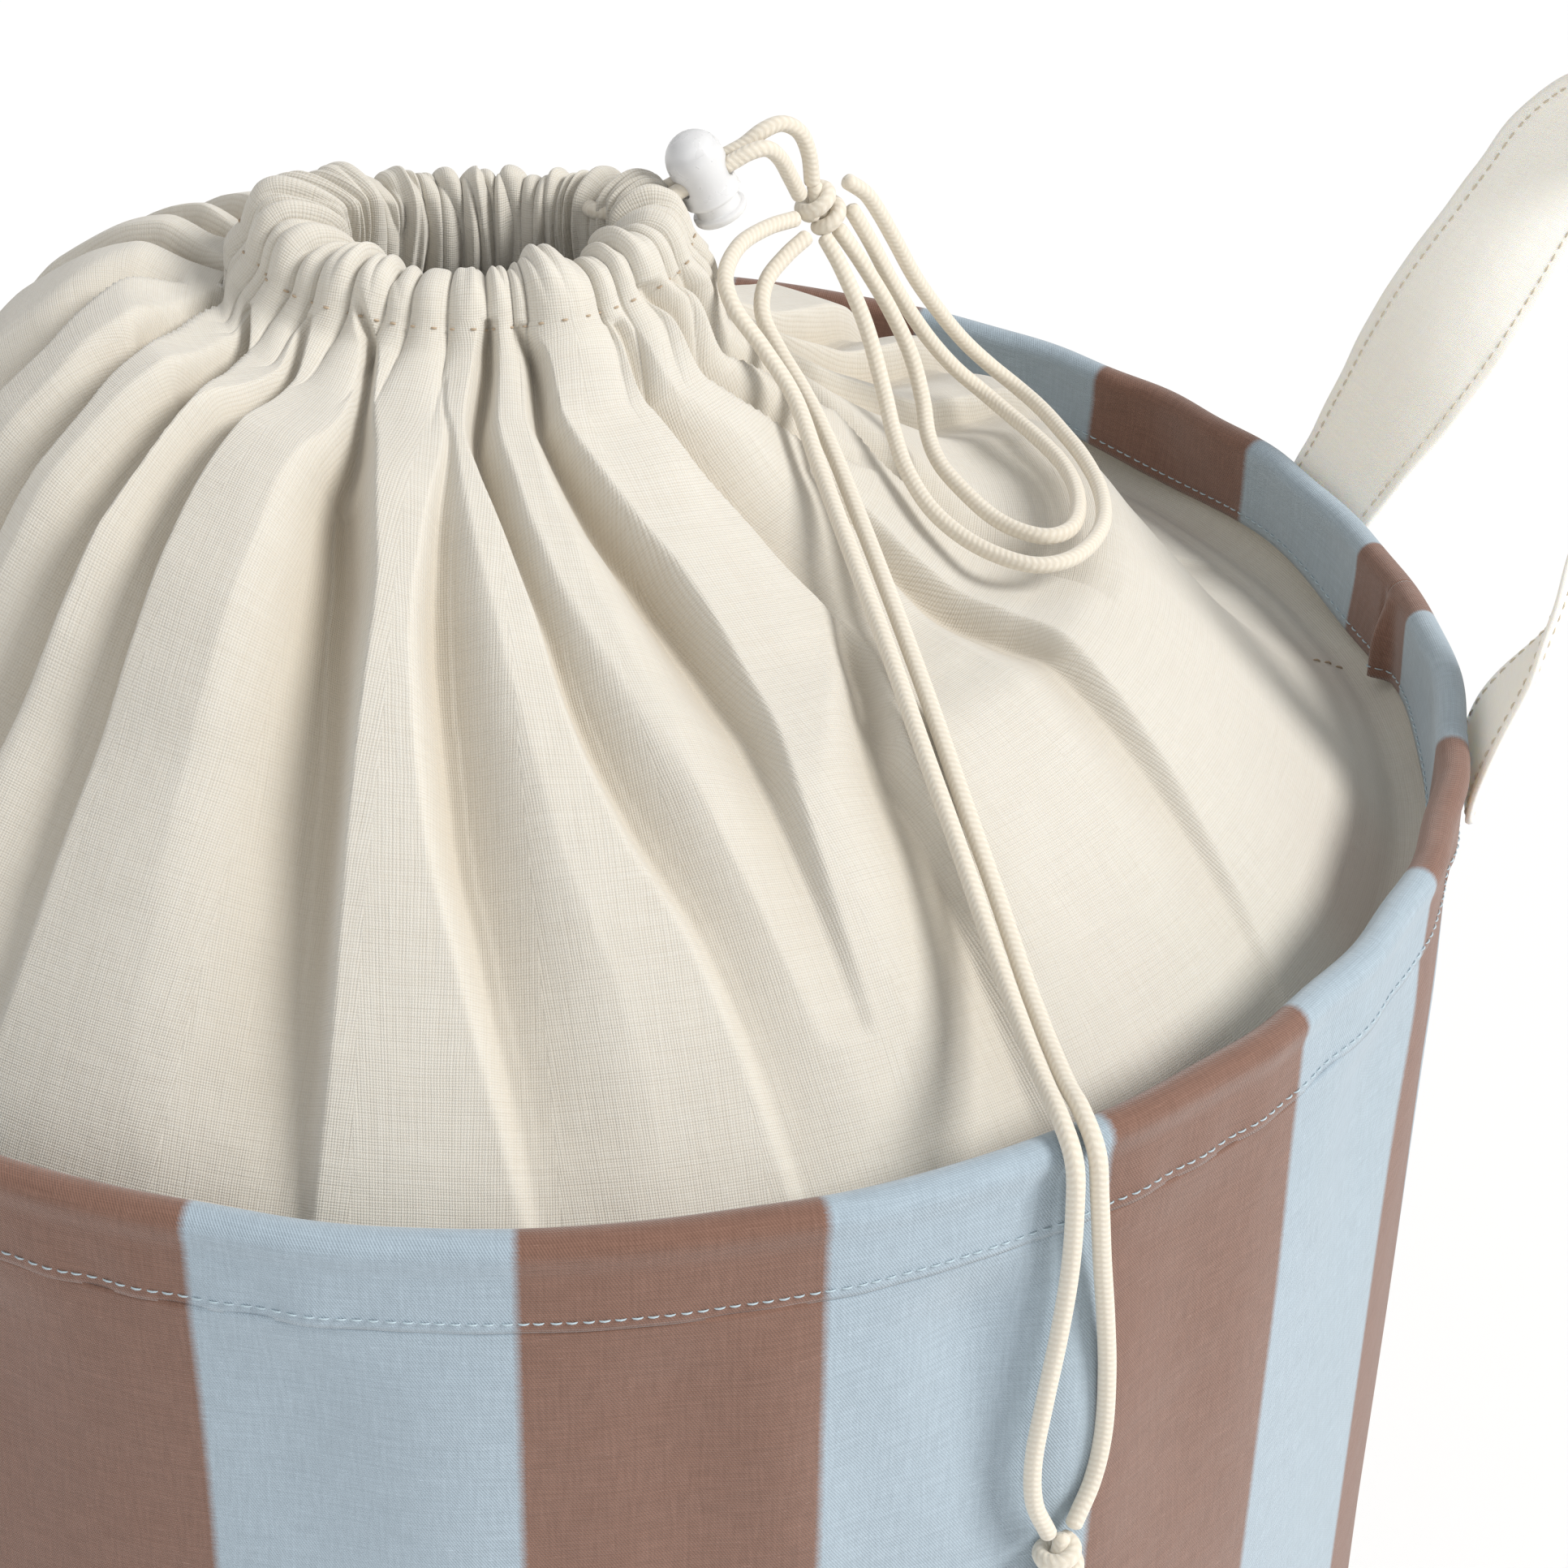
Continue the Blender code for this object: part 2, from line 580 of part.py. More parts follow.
def make_cords():
    """The free cord: its leads, its two loops, its two tails, the knots and the cut ends."""
    cord("cord_lead_upper", LEAD_UPPER, CORD_CREAM)
    cord("cord_lead_lower", LEAD_LOWER, CORD_CREAM)
    knot_mesh("cord_knot", KNOT_CENTRE, KNOT_RADII, CORD_CREAM)
    cord("cord_loop_outer", LOOP_OUTER, CORD_CREAM)
    cord("cord_loop_inner", LOOP_INNER, CORD_CREAM)
    cord("cord_tail_left", TAIL_LEFT, CORD_CREAM)
    cord("cord_tail_right", TAIL_RIGHT, CORD_CREAM)
    knot_mesh("cord_end_knot", END_KNOT_CENTRE, END_KNOT_RADII, CORD_CREAM)
    for name, side in (("cord_cut_end_left", -1), ("cord_cut_end_right", 1)):
        top = END_KNOT_CENTRE + Vector((side * 2.2 * MM, side * 0.9 * MM, -END_KNOT_RADII[2] - 0.2 * MM))
        bottom = top + Vector((side * 1.6 * MM, side * 0.7 * MM, -CUT_END_LENGTH))
        tube(name, [top, (top + bottom) / 2, bottom], CORD, CORD_CREAM)


def strap_section(centre, across, face):
    """The strap's flat section: across its width, and face out of its outer side."""
    half_width, half_thick = across * STRAP_WIDTH / 2, face * STRAP_THICKNESS / 2
    return [
        centre - half_width - half_thick,
        centre + half_width - half_thick,
        centre + half_width + half_thick,
        centre - half_width + half_thick,
    ]


def smoothstep(value):
    """0 below 0, 1 above 1, and smooth in between."""
    t = min(1, max(0, value))
    return t * t * (3 - 2 * t)


def leg_turn(height):
    """How far a leg's face has turned: flat on the bag, then along the hinge line, then square to it."""
    if height < HANDLE_SPLIT:
        return math.radians(STRAP_END_AZIMUTH * (1 - smoothstep(height / HANDLE_SPLIT)))
    return math.radians(90 * smoothstep((height - HANDLE_SPLIT) / (HANDLE_LEG - HANDLE_SPLIT)))


def leg_section(side, height):
    """A leg's section at a height up the leaning plane."""
    turn = leg_turn(height)
    face = Vector((math.cos(turn), side * math.sin(turn), 0))
    along = Vector((0, 0, side))
    return strap_section(Vector((0, side * HANDLE_HALF_SPREAD, height)), along.cross(face), face)


def handle_sections():
    """The free loop in its own plane, with Z up the plane and X out of it."""
    steps_leg, steps_arch = 12, 14
    rise = (HANDLE_LEG - HANDLE_SPLIT) / steps_leg
    heights = [HANDLE_SPLIT + rise * step for step in range(steps_leg)]
    arch = []
    for step in range(steps_arch + 1):
        turn = math.pi * step / steps_arch
        centre = Vector((0, HANDLE_HALF_SPREAD * math.cos(turn), HANDLE_LEG + HANDLE_ARCH * math.sin(turn)))
        outwards = Vector((0, HANDLE_ARCH * math.cos(turn), HANDLE_HALF_SPREAD * math.sin(turn)))
        outwards.normalize()
        along = Vector((0, -outwards.z, outwards.y))
        arch.append(strap_section(centre, along.cross(outwards), outwards))
    up = [leg_section(1, height) for height in heights]
    down = [leg_section(-1, height) for height in reversed(heights)]
    return up + arch + down


def strap_end_sections(side):
    """A sewn end of a right-hand strap: up the hem's outside, then leaning out to the hinge line."""
    out = direction(90 + side * STRAP_END_AZIMUTH)
    sections = []
    for height in (STRAP_END_BOTTOM, STRAP_END_TOP):
        centre = out * STRAP_ON_HEM_RADIUS + Vector((0, 0, height))
        sections.append(strap_section(centre, Vector((-out.y, out.x, 0)), out))
    tilt = Matrix.Rotation(math.radians(HANDLE_TILT), 4, "Y")
    lean = Matrix.Translation((LEAN_RADIUS, 0, LEAN_HEIGHT)) @ tilt
    for height in (*STRAP_LEAN_HEIGHTS, HANDLE_SPLIT - HANDLE_SPLIT_GAP):
        section = leg_section(side, height)
        if side < 0:
            section = [section[1], section[0], section[3], section[2]]
        sections.append([lean @ point for point in section])
    return sections


def make_handle(side_name, turn):
    """One handle: its free loop on its hinge line, and its two sewn ends."""
    root = add_empty(f"handle_{side_name}_root", (0, 0, 0), (0, 0, turn + HANDLE_AZIMUTH - 90))
    plane = add_empty(f"handle_{side_name}_plane", (LEAN_RADIUS, 0, LEAN_HEIGHT), (0, HANDLE_TILT, 0))
    plane.parent = root
    loft(f"handle_{side_name}", handle_sections(), STRAP_CREAM, parent=plane, twisted=True)
    names = {"right": ("front", "back"), "left": ("back", "front")}[side_name]
    for end_name, side in zip(names, (-1, 1)):
        name = f"handle_{side_name}_{end_name}_end"
        loft(name, strap_end_sections(side), STRAP_CREAM, parent=root, twisted=True)


def clear_scene():
    """Removes whatever the scene holds."""
    for item in list(bpy.data.objects):
        bpy.data.objects.remove(item, do_unlink=True)


def main():
    clear_scene()
    make_base()
    for name, first in (("front", SEAM_AZIMUTH - 180), ("back", SEAM_AZIMUTH)):
        make_wall(f"wall_{name}", first)
        make_hem(f"hem_{name}", first)
    make_hoop()
    make_cover()
    make_casing()
    make_casing_cord()
    make_cord_lock()
    make_cords()
    make_handle("right", 0)
    make_handle("left", 180)


main()
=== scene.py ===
import math

import bmesh
import bpy
import numpy as np
from mathutils import Matrix, Vector


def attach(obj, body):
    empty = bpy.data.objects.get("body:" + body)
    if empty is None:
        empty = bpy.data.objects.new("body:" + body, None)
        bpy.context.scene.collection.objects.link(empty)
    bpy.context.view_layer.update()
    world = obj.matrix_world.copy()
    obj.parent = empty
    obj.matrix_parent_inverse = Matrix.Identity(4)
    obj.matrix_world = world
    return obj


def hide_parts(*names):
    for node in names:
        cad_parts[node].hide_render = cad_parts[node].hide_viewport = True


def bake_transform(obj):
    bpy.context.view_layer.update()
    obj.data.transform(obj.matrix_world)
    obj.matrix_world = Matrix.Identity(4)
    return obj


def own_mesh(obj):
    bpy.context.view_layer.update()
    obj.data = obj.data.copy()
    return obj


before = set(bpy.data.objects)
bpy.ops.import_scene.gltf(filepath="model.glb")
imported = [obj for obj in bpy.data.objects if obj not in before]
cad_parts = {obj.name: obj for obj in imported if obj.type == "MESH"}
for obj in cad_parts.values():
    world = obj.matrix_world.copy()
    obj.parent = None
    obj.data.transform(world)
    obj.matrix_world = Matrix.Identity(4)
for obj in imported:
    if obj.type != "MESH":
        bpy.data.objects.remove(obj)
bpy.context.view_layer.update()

MM = 0.001
RIM_HEIGHT = 500.0
WALL_RADIUS = 220.0
CANVAS = 1.1
HEM_DEPTH = 22.0
HOOP_RADIUS = 217.2
HEM_FOLD_RADIUS = 3.8
SEAM_AZIMUTH = 94.85
CORD = 3.8


# --- numbers along a curve

def curve_through(x, y, at):
    """Values at the given places on a smooth curve through the points, with no overshoot."""
    x, y, at = (np.asarray(v, float) for v in (x, y, at))
    step = np.diff(x)
    slope = np.diff(y) / step
    tangent = np.zeros_like(y)
    if len(x) > 2:
        same = slope[:-1] * slope[1:] > 0
        w1, w2 = 2 * step[1:] + step[:-1], step[1:] + 2 * step[:-1]
        after, before = (np.where(same, part, 1.0) for part in (slope[1:], slope[:-1]))
        inner = (w1 + w2) * (before * after) / (w1 * after + w2 * before)
        tangent[1:-1] = np.where(same, inner, 0.0)
    tangent[0], tangent[-1] = slope[0], slope[-1]
    at = np.clip(at, x[0], x[-1])
    i = np.clip(np.searchsorted(x, at, side="right") - 1, 0, len(x) - 2)
    t = (at - x[i]) / step[i]
    return (
        y[i] * (1 + 2 * t) * (1 - t) ** 2
        + y[i + 1] * t ** 2 * (3 - 2 * t)
        + step[i] * tangent[i] * t * (1 - t) ** 2
        + step[i] * tangent[i + 1] * t ** 2 * (t - 1)
    )


def smooth(value):
    """0 at 0 and below, 1 at 1 and above, smooth between."""
    t = np.clip(value, 0, 1)
    return t * t * (3 - 2 * t)


def ramp(value, low, high):
    """0 below low, 1 above high, smooth between."""
    return smooth((np.asarray(value, float) - low) / (high - low))


def wrap(angle):
    """An angle in degrees brought to -180 to 180."""
    return (np.asarray(angle, float) + 180) % 360 - 180


def distances(line):
    """How far along a line of points each of them is."""
    return np.concatenate([[0], np.cumsum(np.linalg.norm(np.diff(line, axis=0), axis=1))])


def sample(values, along, at):
    """Points or directions at the given distances, from those known at the distances along."""
    return np.column_stack([np.interp(at, along, values[:, axis]) for axis in range(3)])


def unit(vectors):
    """The vectors, or the one vector, brought to length 1."""
    return vectors / np.maximum(np.linalg.norm(vectors, axis=-1, keepdims=True), 1e-9)


def waves(azimuth, seed, lowest, highest, count):
    """A smooth periodic wander round the circle, about -1 to 1."""
    rng = np.random.default_rng(seed)
    total = np.zeros_like(np.asarray(azimuth, float))
    for _ in range(count):
        n = rng.integers(lowest, highest + 1)
        total += np.sin(np.radians(azimuth) * n + rng.uniform(0, 2 * math.pi)) / math.sqrt(count)
    return total


def smooth_route(points, spacing):
    """Evenly spaced points on a smooth curve through the given ones."""
    through = np.array(points, float)
    padded = np.vstack([2 * through[0] - through[1], through, 2 * through[-1] - through[-2]])
    fine = []
    for a, b, c, d in zip(padded, padded[1:], padded[2:], padded[3:]):
        for t in np.linspace(0, 1, 12, endpoint=False):
            fine.append(0.5 * (
                2 * b
                + (c - a) * t
                + (2 * a - 5 * b + 4 * c - d) * t ** 2
                + (3 * b - a - 3 * c + d) * t ** 3
            ))
    fine = np.array(fine + [through[-1]])
    along = distances(fine)
    return sample(fine, along, np.linspace(0, along[-1], max(3, round(along[-1] / spacing) + 1)))


# --- meshes

def add_object(name, data):
    made = bpy.data.objects.new(name, data)
    bpy.context.scene.collection.objects.link(made)
    return made


def add_mesh(name, points, faces, finish, thread=None, stripe=None):
    """A smooth mesh in millimetres. thread and stripe are values at each face corner."""
    data = bpy.data.meshes.new(name)
    points = np.asarray(points, float) * MM
    faces = np.asarray(faces)
    data.vertices.add(len(points))
    data.vertices.foreach_set("co", points.ravel())
    sides = faces.shape[1]
    data.loops.add(faces.size)
    data.loops.foreach_set("vertex_index", faces.ravel().astype(np.int32))
    data.polygons.add(len(faces))
    data.polygons.foreach_set("loop_start", np.arange(0, faces.size, sides, dtype=np.int32))
    data.polygons.foreach_set("loop_total", np.full(len(faces), sides, np.int32))
    data.update(calc_edges=True)
    data.validate()
    if thread is not None:
        layer = data.attributes.new("thread", "FLOAT_VECTOR", "CORNER")
        layer.data.foreach_set("vector", np.asarray(thread, np.float32).reshape(-1))
    if stripe is not None:
        layer = data.attributes.new("stripe", "FLOAT", "CORNER")
        layer.data.foreach_set("value", np.asarray(stripe, np.float32).reshape(-1))
    data.shade_smooth()
    data.materials.append(finish)
    return add_object(name, data)


def grid_faces(rows, columns, round_columns=False, round_rows=False):
    """Faces of a grid of points, and the row and column of each corner, counted on past the last."""
    r = np.arange(rows if round_rows else rows - 1)
    c = np.arange(columns if round_columns else columns - 1)
    rr, cc = np.meshgrid(r, c, indexing="ij")
    rr, cc = rr.ravel(), cc.ravel()
    corner_rows = np.stack([rr, rr, rr + 1, rr + 1], 1)
    corner_columns = np.stack([cc, cc + 1, cc + 1, cc], 1)
    faces = (corner_rows % rows) * columns + corner_columns % columns
    return faces, corner_rows, corner_columns


def normals_of(grid, round_columns=False):
    """Unit normals of a grid of points, whose columns may run round and meet."""
    if round_columns:
        across = np.roll(grid, -1, 1) - np.roll(grid, 1, 1)
    else:
        across = np.gradient(grid, axis=1)
    return unit(np.cross(across, np.gradient(grid, axis=0)))


CAP_RINGS = (0.05, 0.6, 0.9)
CAP_BULGE = 0.6


def tube(name, centre, radius, finish, sides=16):
    """A round tube with rounded ends on dense centreline points in millimetres.

    Its thread values are turns round it and millimetres along it.
    """
    centre = np.asarray(centre, float)
    count = len(centre)
    tangent = unit(np.gradient(centre, axis=0))
    side = unit(np.cross(tangent[0], [0.3, 0.2, 1.0]))
    side_at = []
    for direction in tangent:
        side = unit(side - direction * np.dot(side, direction))
        side_at.append(side)
    side_at = np.array(side_at)
    up_at = np.cross(tangent, side_at)
    radius = np.broadcast_to(np.asarray(radius, float), (count,))
    along = distances(centre)

    def cap(i, sign):
        """Rings that round off an end, the smallest first."""
        bulge = tangent[i] * radius[i] * CAP_BULGE * sign
        return [(centre[i] + bulge * math.sqrt(1 - s ** 2), radius[i] * s, along[i], i) for s in CAP_RINGS]

    rings = [(centre[i], radius[i], along[i], i) for i in range(count)]
    rings = cap(0, -1) + rings + cap(count - 1, 1)[::-1]
    turn = 2 * math.pi * np.arange(sides) / sides
    grid = np.array([
        c + r * (np.cos(turn)[:, None] * side_at[i] + np.sin(turn)[:, None] * up_at[i])
        for c, r, _, i in rings
    ])
    faces, fr, fc = grid_faces(len(rings), sides, round_columns=True)
    lengths = np.array([ring[2] for ring in rings])
    thread = np.stack([fc / sides, lengths[fr], np.zeros(fr.shape)], 2)
    return add_mesh(name, grid.reshape(-1, 3), faces[:, ::-1], finish, thread[:, ::-1])


def close_mesh(made, rings=(), weld=False):
    """Closes open ends with a face on each ring of vertices, and turns all faces outwards."""
    shape = bmesh.new()
    shape.from_mesh(made.data)
    shape.verts.ensure_lookup_table()
    for ring in rings:
        shape.faces.new([shape.verts[i] for i in ring])
    if weld:
        bmesh.ops.remove_doubles(shape, verts=shape.verts, dist=1e-6)
    bmesh.ops.recalc_face_normals(shape, faces=shape.faces)
    shape.to_mesh(made.data)
    shape.free()


# One stitch: share of its length, height of the thread's middle and half its width, in thread radii.
STITCH = np.array([(0, -1.1, 0.5), (0.15, 0.3, 0.95), (0.5, 1.0, 1.1), (0.85, 0.3, 0.95), (1, -1.1, 0.5)])
STITCH_SIDES = 5


def stitches(name, line, normal, pitch, length, radius, finish, closed=False, lift=0.15):
    """A row of sewn stitches along dense points of a surface.

    Each one is a short thread that dips at both ends.
    """
    line, normal = np.asarray(line, float), np.asarray(normal, float)
    if closed:
        line, normal = np.vstack([line, line[:1]]), np.vstack([normal, normal[:1]])
    along = distances(line)
    count = max(1, int(along[-1] // pitch))
    share, height, width = STITCH.T * np.array([[1], [radius], [radius]])
    turn = 2 * math.pi * np.arange(STITCH_SIDES) / STITCH_SIDES
    one = grid_faces(len(share), STITCH_SIDES, round_columns=True)[0]
    points, faces = [], []
    rng = np.random.default_rng(len(name))
    for k in range(count):
        s = along[-1] * (k + 0.5) / count + (share - 0.5) * length + rng.uniform(-0.08, 0.08) * pitch
        p = sample(line, along, s)
        n = unit(sample(normal, along, s))
        b = np.cross(n, unit(p[-1] - p[0]))
        centre = p + n * (height + lift)[:, None]
        ring = centre[:, None] + width[:, None, None] * (
            np.cos(turn)[None, :, None] * n[:, None] + np.sin(turn)[None, :, None] * b[:, None]
        )
        points.append(ring.reshape(-1, 3))
        faces.append(one + k * len(share) * STITCH_SIDES)
    return add_mesh(name, np.vstack(points), np.vstack(faces), finish)


def stand_in(piece, body, slot, *nodes):
    """Puts a piece on its body in place of its CAD nodes, which it hides. The slot is not used."""
    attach(piece, body)
    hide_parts(*nodes)


# --- shader sums

class Sum:
    """A value in a shader. Arithmetic on it adds Math nodes to its material."""

    def __init__(self, tree, socket):
        self.tree, self.socket = tree, socket

    def math(self, operation, *others, clamp=False):
        node = self.tree.nodes.new("ShaderNodeMath")
        node.operation = operation
        node.use_clamp = clamp
        for slot, value in zip(node.inputs, (self, *others)):
            if isinstance(value, Sum):
                self.tree.links.new(value.socket, slot)
            else:
                slot.default_value = value
        return Sum(self.tree, node.outputs[0])

    def __add__(self, other):
        return self.math("ADD", other)

    def __sub__(self, other):
        return self.math("SUBTRACT", other)

    def __mul__(self, other):
        return self.math("MULTIPLY", other)

    def clamp(self):
        return self.math("ADD", 0.0, clamp=True)


class Finish:
    """A material being made, with its Principled shader and short ways to add nodes."""

    def __init__(self, name):
        self.material = bpy.data.materials.new(name)
        self.material.use_nodes = True
        self.tree = self.material.node_tree
        self.shader = self.tree.nodes["Principled BSDF"]

    def node(self, kind, **settings):
        made = self.tree.nodes.new(kind)
        for key, value in settings.items():
            setattr(made, key, value)
        return made

    def put(self, slot, value):
        if isinstance(value, Sum):
            self.tree.links.new(value.socket, slot)
        elif isinstance(value, bpy.types.NodeSocket):
            self.tree.links.new(value, slot)
        else:
            slot.default_value = value

    def attribute(self, name):
        return self.node("ShaderNodeAttribute", attribute_name=name)

    def thread(self):
        """Millimetres along the cloth's own two directions, and how deep it lies in a fold, 0 to 1, which
        sets the painted fold shade.
        """
        return self.parts(self.attribute("thread").outputs["Vector"])

    def parts(self, vector):
        node = self.node("ShaderNodeSeparateXYZ")
        self.put(node.inputs[0], vector)
        return tuple(Sum(self.tree, output) for output in node.outputs)

    def place(self):
        """The piece's own coordinates, in metres."""
        return self.node("ShaderNodeTexCoord").outputs["Object"]

    def join(self, x, y, z=0.0):
        node = self.node("ShaderNodeCombineXYZ")
        for slot, value in zip(node.inputs, (x, y, z)):
            self.put(slot, value)
        return node.outputs[0]

    def noise(self, vector, scale, detail=2.0, roughness=0.5):
        node = self.node("ShaderNodeTexNoise")
        self.put(node.inputs["Vector"], vector)
        node.inputs["Scale"].default_value = scale
        node.inputs["Detail"].default_value = detail
        node.inputs["Roughness"].default_value = roughness
        return Sum(self.tree, node.outputs["Fac"])

    def mix(self, share, first, second):
        node = self.node("ShaderNodeMix", data_type="RGBA")
        self.put(node.inputs["Factor"], share)
        for slot, value in ((node.inputs[6], first), (node.inputs[7], second)):
            self.put(slot, (*value, 1) if isinstance(value, tuple) else value)
        return node.outputs[2]

    def bump(self, height, strength, distance, under=None):
        node = self.node("ShaderNodeBump")
        node.inputs["Strength"].default_value = strength
        node.inputs["Distance"].default_value = distance
        self.put(node.inputs["Height"], height)
        if under is not None:
            self.tree.links.new(under, node.inputs["Normal"])
        return node.outputs["Normal"]

    def done(self, colour, normal, roughness=0.85, **values):
        """Sets the shader, each further value on the input of the same name."""
        self.put(self.shader.inputs["Base Color"], colour)
        if normal is not None:
            self.put(self.shader.inputs["Normal"], normal)
        self.put(self.shader.inputs["Roughness"], roughness)
        for key, value in values.items():
            self.put(self.shader.inputs[key.replace("_", " ")], value)
        return self.material


def plain_weave(finish, u, v, pitch):
    """Height of a plain weave, 0 to 1, from thread coordinates, with uneven yarns."""
    wander = finish.noise(finish.join(u * 0.06, v * 0.06), 1.0, 2.0)
    slub_u = finish.noise(finish.join(u * (1 / pitch), v * 0.05), 1.0, 1.0)
    slub_v = finish.noise(finish.join(u * 0.05, v * (1 / pitch)), 1.0, 1.0)
    a = (u * (1 / pitch) + wander * 1.4) * math.pi
    b = (v * (1 / pitch) + wander * 1.4) * math.pi
    sa, sb = a.math("SINE"), b.math("SINE")
    over = sa * sb
    weave = sa.math("ABSOLUTE") * (over * 0.5 + 0.5) + sb.math("ABSOLUTE") * (over * -0.5 + 0.5)
    return weave, slub_u, slub_v


# How far light wanders inside cotton, in metres of red, green and blue.
COTTON_SCATTER = (0.004, 0.003, 0.002)
# Painted fold shade: what is left of a cloth's colour deep in a fold, and how much of that painted shade
# shows.
PAINTED_FOLD_SHADE = (0.72, 0.64, 0.53)
PAINTED_FOLD_SHADE_SHARE = 0.85


def cotton(name, light, dark, pitch, weave_strength=0.55, fuzz=0.25, through=0.06):
    """Undyed cotton in a plain weave, with painted shade: darker in the weave's pores, and darker and a
    little more tan where it lies deep in a fold.
    """
    finish = Finish(name)
    u, v, deep = finish.thread()
    weave, slub_u, slub_v = plain_weave(finish, u, v, pitch)
    place = finish.place()
    blotch = finish.noise(place, 18.0, 3.0, 0.6)
    lint = finish.noise(place, 900.0, 3.0, 0.7)
    # Painted shade in the weave's pores, with random blotches and lighter slubs of yarn, mixes towards the
    # darker colour.
    pore_shade = (weave * -1.6 + 1.25).clamp() * 0.55
    slubs = (slub_u + slub_v - 1.0) * 0.9
    shade = (pore_shade + blotch * 0.25 - slubs * 0.5 - 0.05).clamp()
    colour = finish.mix(shade, light, dark)
    # Painted fold shade: the colour darkened and warmed by how deep the cloth lies in a fold.
    fold_shade_colour = tuple(c * f for c, f in zip(light, PAINTED_FOLD_SHADE))
    colour = finish.mix(deep * PAINTED_FOLD_SHADE_SHARE, colour, fold_shade_colour)
    rumple = finish.noise(place, 55.0, 3.0, 0.5)
    soft = finish.bump(rumple, 0.35, 0.0022)
    height = weave + slubs * 0.9 + lint * 0.35
    normal = finish.bump(height, weave_strength, 0.00022, soft)
    return finish.done(
        colour, normal, 0.92, Sheen_Weight=fuzz, Sheen_Roughness=0.6,
        Subsurface_Weight=through, Subsurface_Radius=COTTON_SCATTER, Subsurface_Scale=0.4 + 2 * through,
    )


def shaded(colour, factor, lift=0.0):
    return tuple(min(1, c * factor + lift) for c in colour)


TWILL_PITCH = 0.62
CROSS_PITCH = 0.5
STRIPE_BLEED = 0.010
STRIPE_CRISPNESS = 60.0


def canvas(name, brown, blue, striped=True):
    """Dyed cotton canvas in a fine twill, with broad stripes or all brown."""
    finish = Finish(name)
    place = finish.place()
    if striped:
        u, v, _ = finish.thread()
        stripe = Sum(finish.tree, finish.attribute("stripe").outputs["Fac"])
        ragged = finish.noise(finish.join(u * 0.5, v * 2.2), 1.0, 2.0) - 0.5
        half = (stripe * 0.5 + ragged * STRIPE_BLEED).math("FRACT")
        rise = (half - 0.5) * STRIPE_CRISPNESS
        fall = half.math("WRAP", 0.0, 1.0) * -STRIPE_CRISPNESS + STRIPE_CRISPNESS
        is_brown = fall.math("MINIMUM", rise).clamp()
    else:
        u, v = (part * 1000.0 for part in finish.parts(place)[:2])
        is_brown = 1.0
    wander = finish.noise(finish.join(u * 0.05, v * 0.05), 1.0, 2.0)
    twill = (u * (1 / TWILL_PITCH) + v + wander * 2.0).math("PINGPONG", 0.5) * 2.0
    cross = (v * (1 / CROSS_PITCH) + wander * 2.0).math("PINGPONG", 0.5) * 2.0
    yarn = finish.noise(finish.join(u * 1.4, v * 0.12), 1.0, 2.0)
    weft = finish.noise(finish.join(u * 0.10, v * 1.5), 1.0, 2.0)
    fleck = finish.noise(finish.join(u * 0.16, v * 0.9), 1.6, 2.0, 0.7)
    specks = ((fleck - 0.66) * 9.0).clamp()
    blotch = finish.noise(place, 14.0, 3.0, 0.6)
    height = twill * 0.75 + cross * 0.5 + yarn * 0.35 + weft * 0.35 + specks * 0.6
    base = finish.mix(is_brown, blue, brown)
    light = finish.mix(is_brown, shaded(blue, 1.28, 0.03), shaded(brown, 1.45, 0.025))
    # A shaded copy of the dyes, for painted shade where the twill lies low.
    deep = finish.mix(is_brown, shaded(blue, 0.72), shaded(brown, 0.68))
    worn = finish.mix(((yarn + weft - 1.0) * 0.8 + 0.20 + specks * 0.7).clamp(), base, light)
    # Painted shade where the twill lies low, with random blotches of darker tone.
    pit_shade_and_blotch = ((height * -1.0 + 1.2) * 0.9 + (blotch - 0.5) * 0.4).clamp() * 0.6
    colour = finish.mix(pit_shade_and_blotch, worn, deep)
    soft = finish.bump(finish.noise(place, 38.0, 3.0, 0.5), 0.35, 0.0030)
    normal = finish.bump(height, 0.5, 0.00025, soft)
    return finish.done(colour, normal, 0.9, Sheen_Weight=0.35, Sheen_Roughness=0.5)


STRANDS_ROUND = 4.0
STRAND_PITCH = 1.45


def braid(name, light, dark):
    """Soft braided cotton cord: strands cross in chevrons along it."""
    finish = Finish(name)
    place = finish.place()
    u, v, _ = finish.thread()
    side = (u * STRANDS_ROUND).math("PINGPONG", 1.0)
    row = (v * (1 / STRAND_PITCH) + side * 0.8).math("PINGPONG", 0.5) * 2.0
    column = (u * (2 * STRANDS_ROUND)).math("PINGPONG", 0.5) * 2.0
    height = row * (column * 0.5 + 0.5)
    lint = finish.noise(place, 1300.0, 3.0, 0.7)
    blotch = finish.noise(place, 60.0, 2.0)
    # Painted shade where the strands lie low, with random blotches of darker tone.
    shade = (height * -0.75 + 0.75 + blotch * 0.3 - 0.12).clamp()
    colour = finish.mix(shade, light, dark)
    normal = finish.bump(height + lint * 0.6, 0.5, 0.00022)
    return finish.done(
        colour, normal, 0.95, Sheen_Weight=0.3, Sheen_Roughness=0.6,
        Subsurface_Weight=0.08, Subsurface_Radius=COTTON_SCATTER, Subsurface_Scale=0.3,
    )


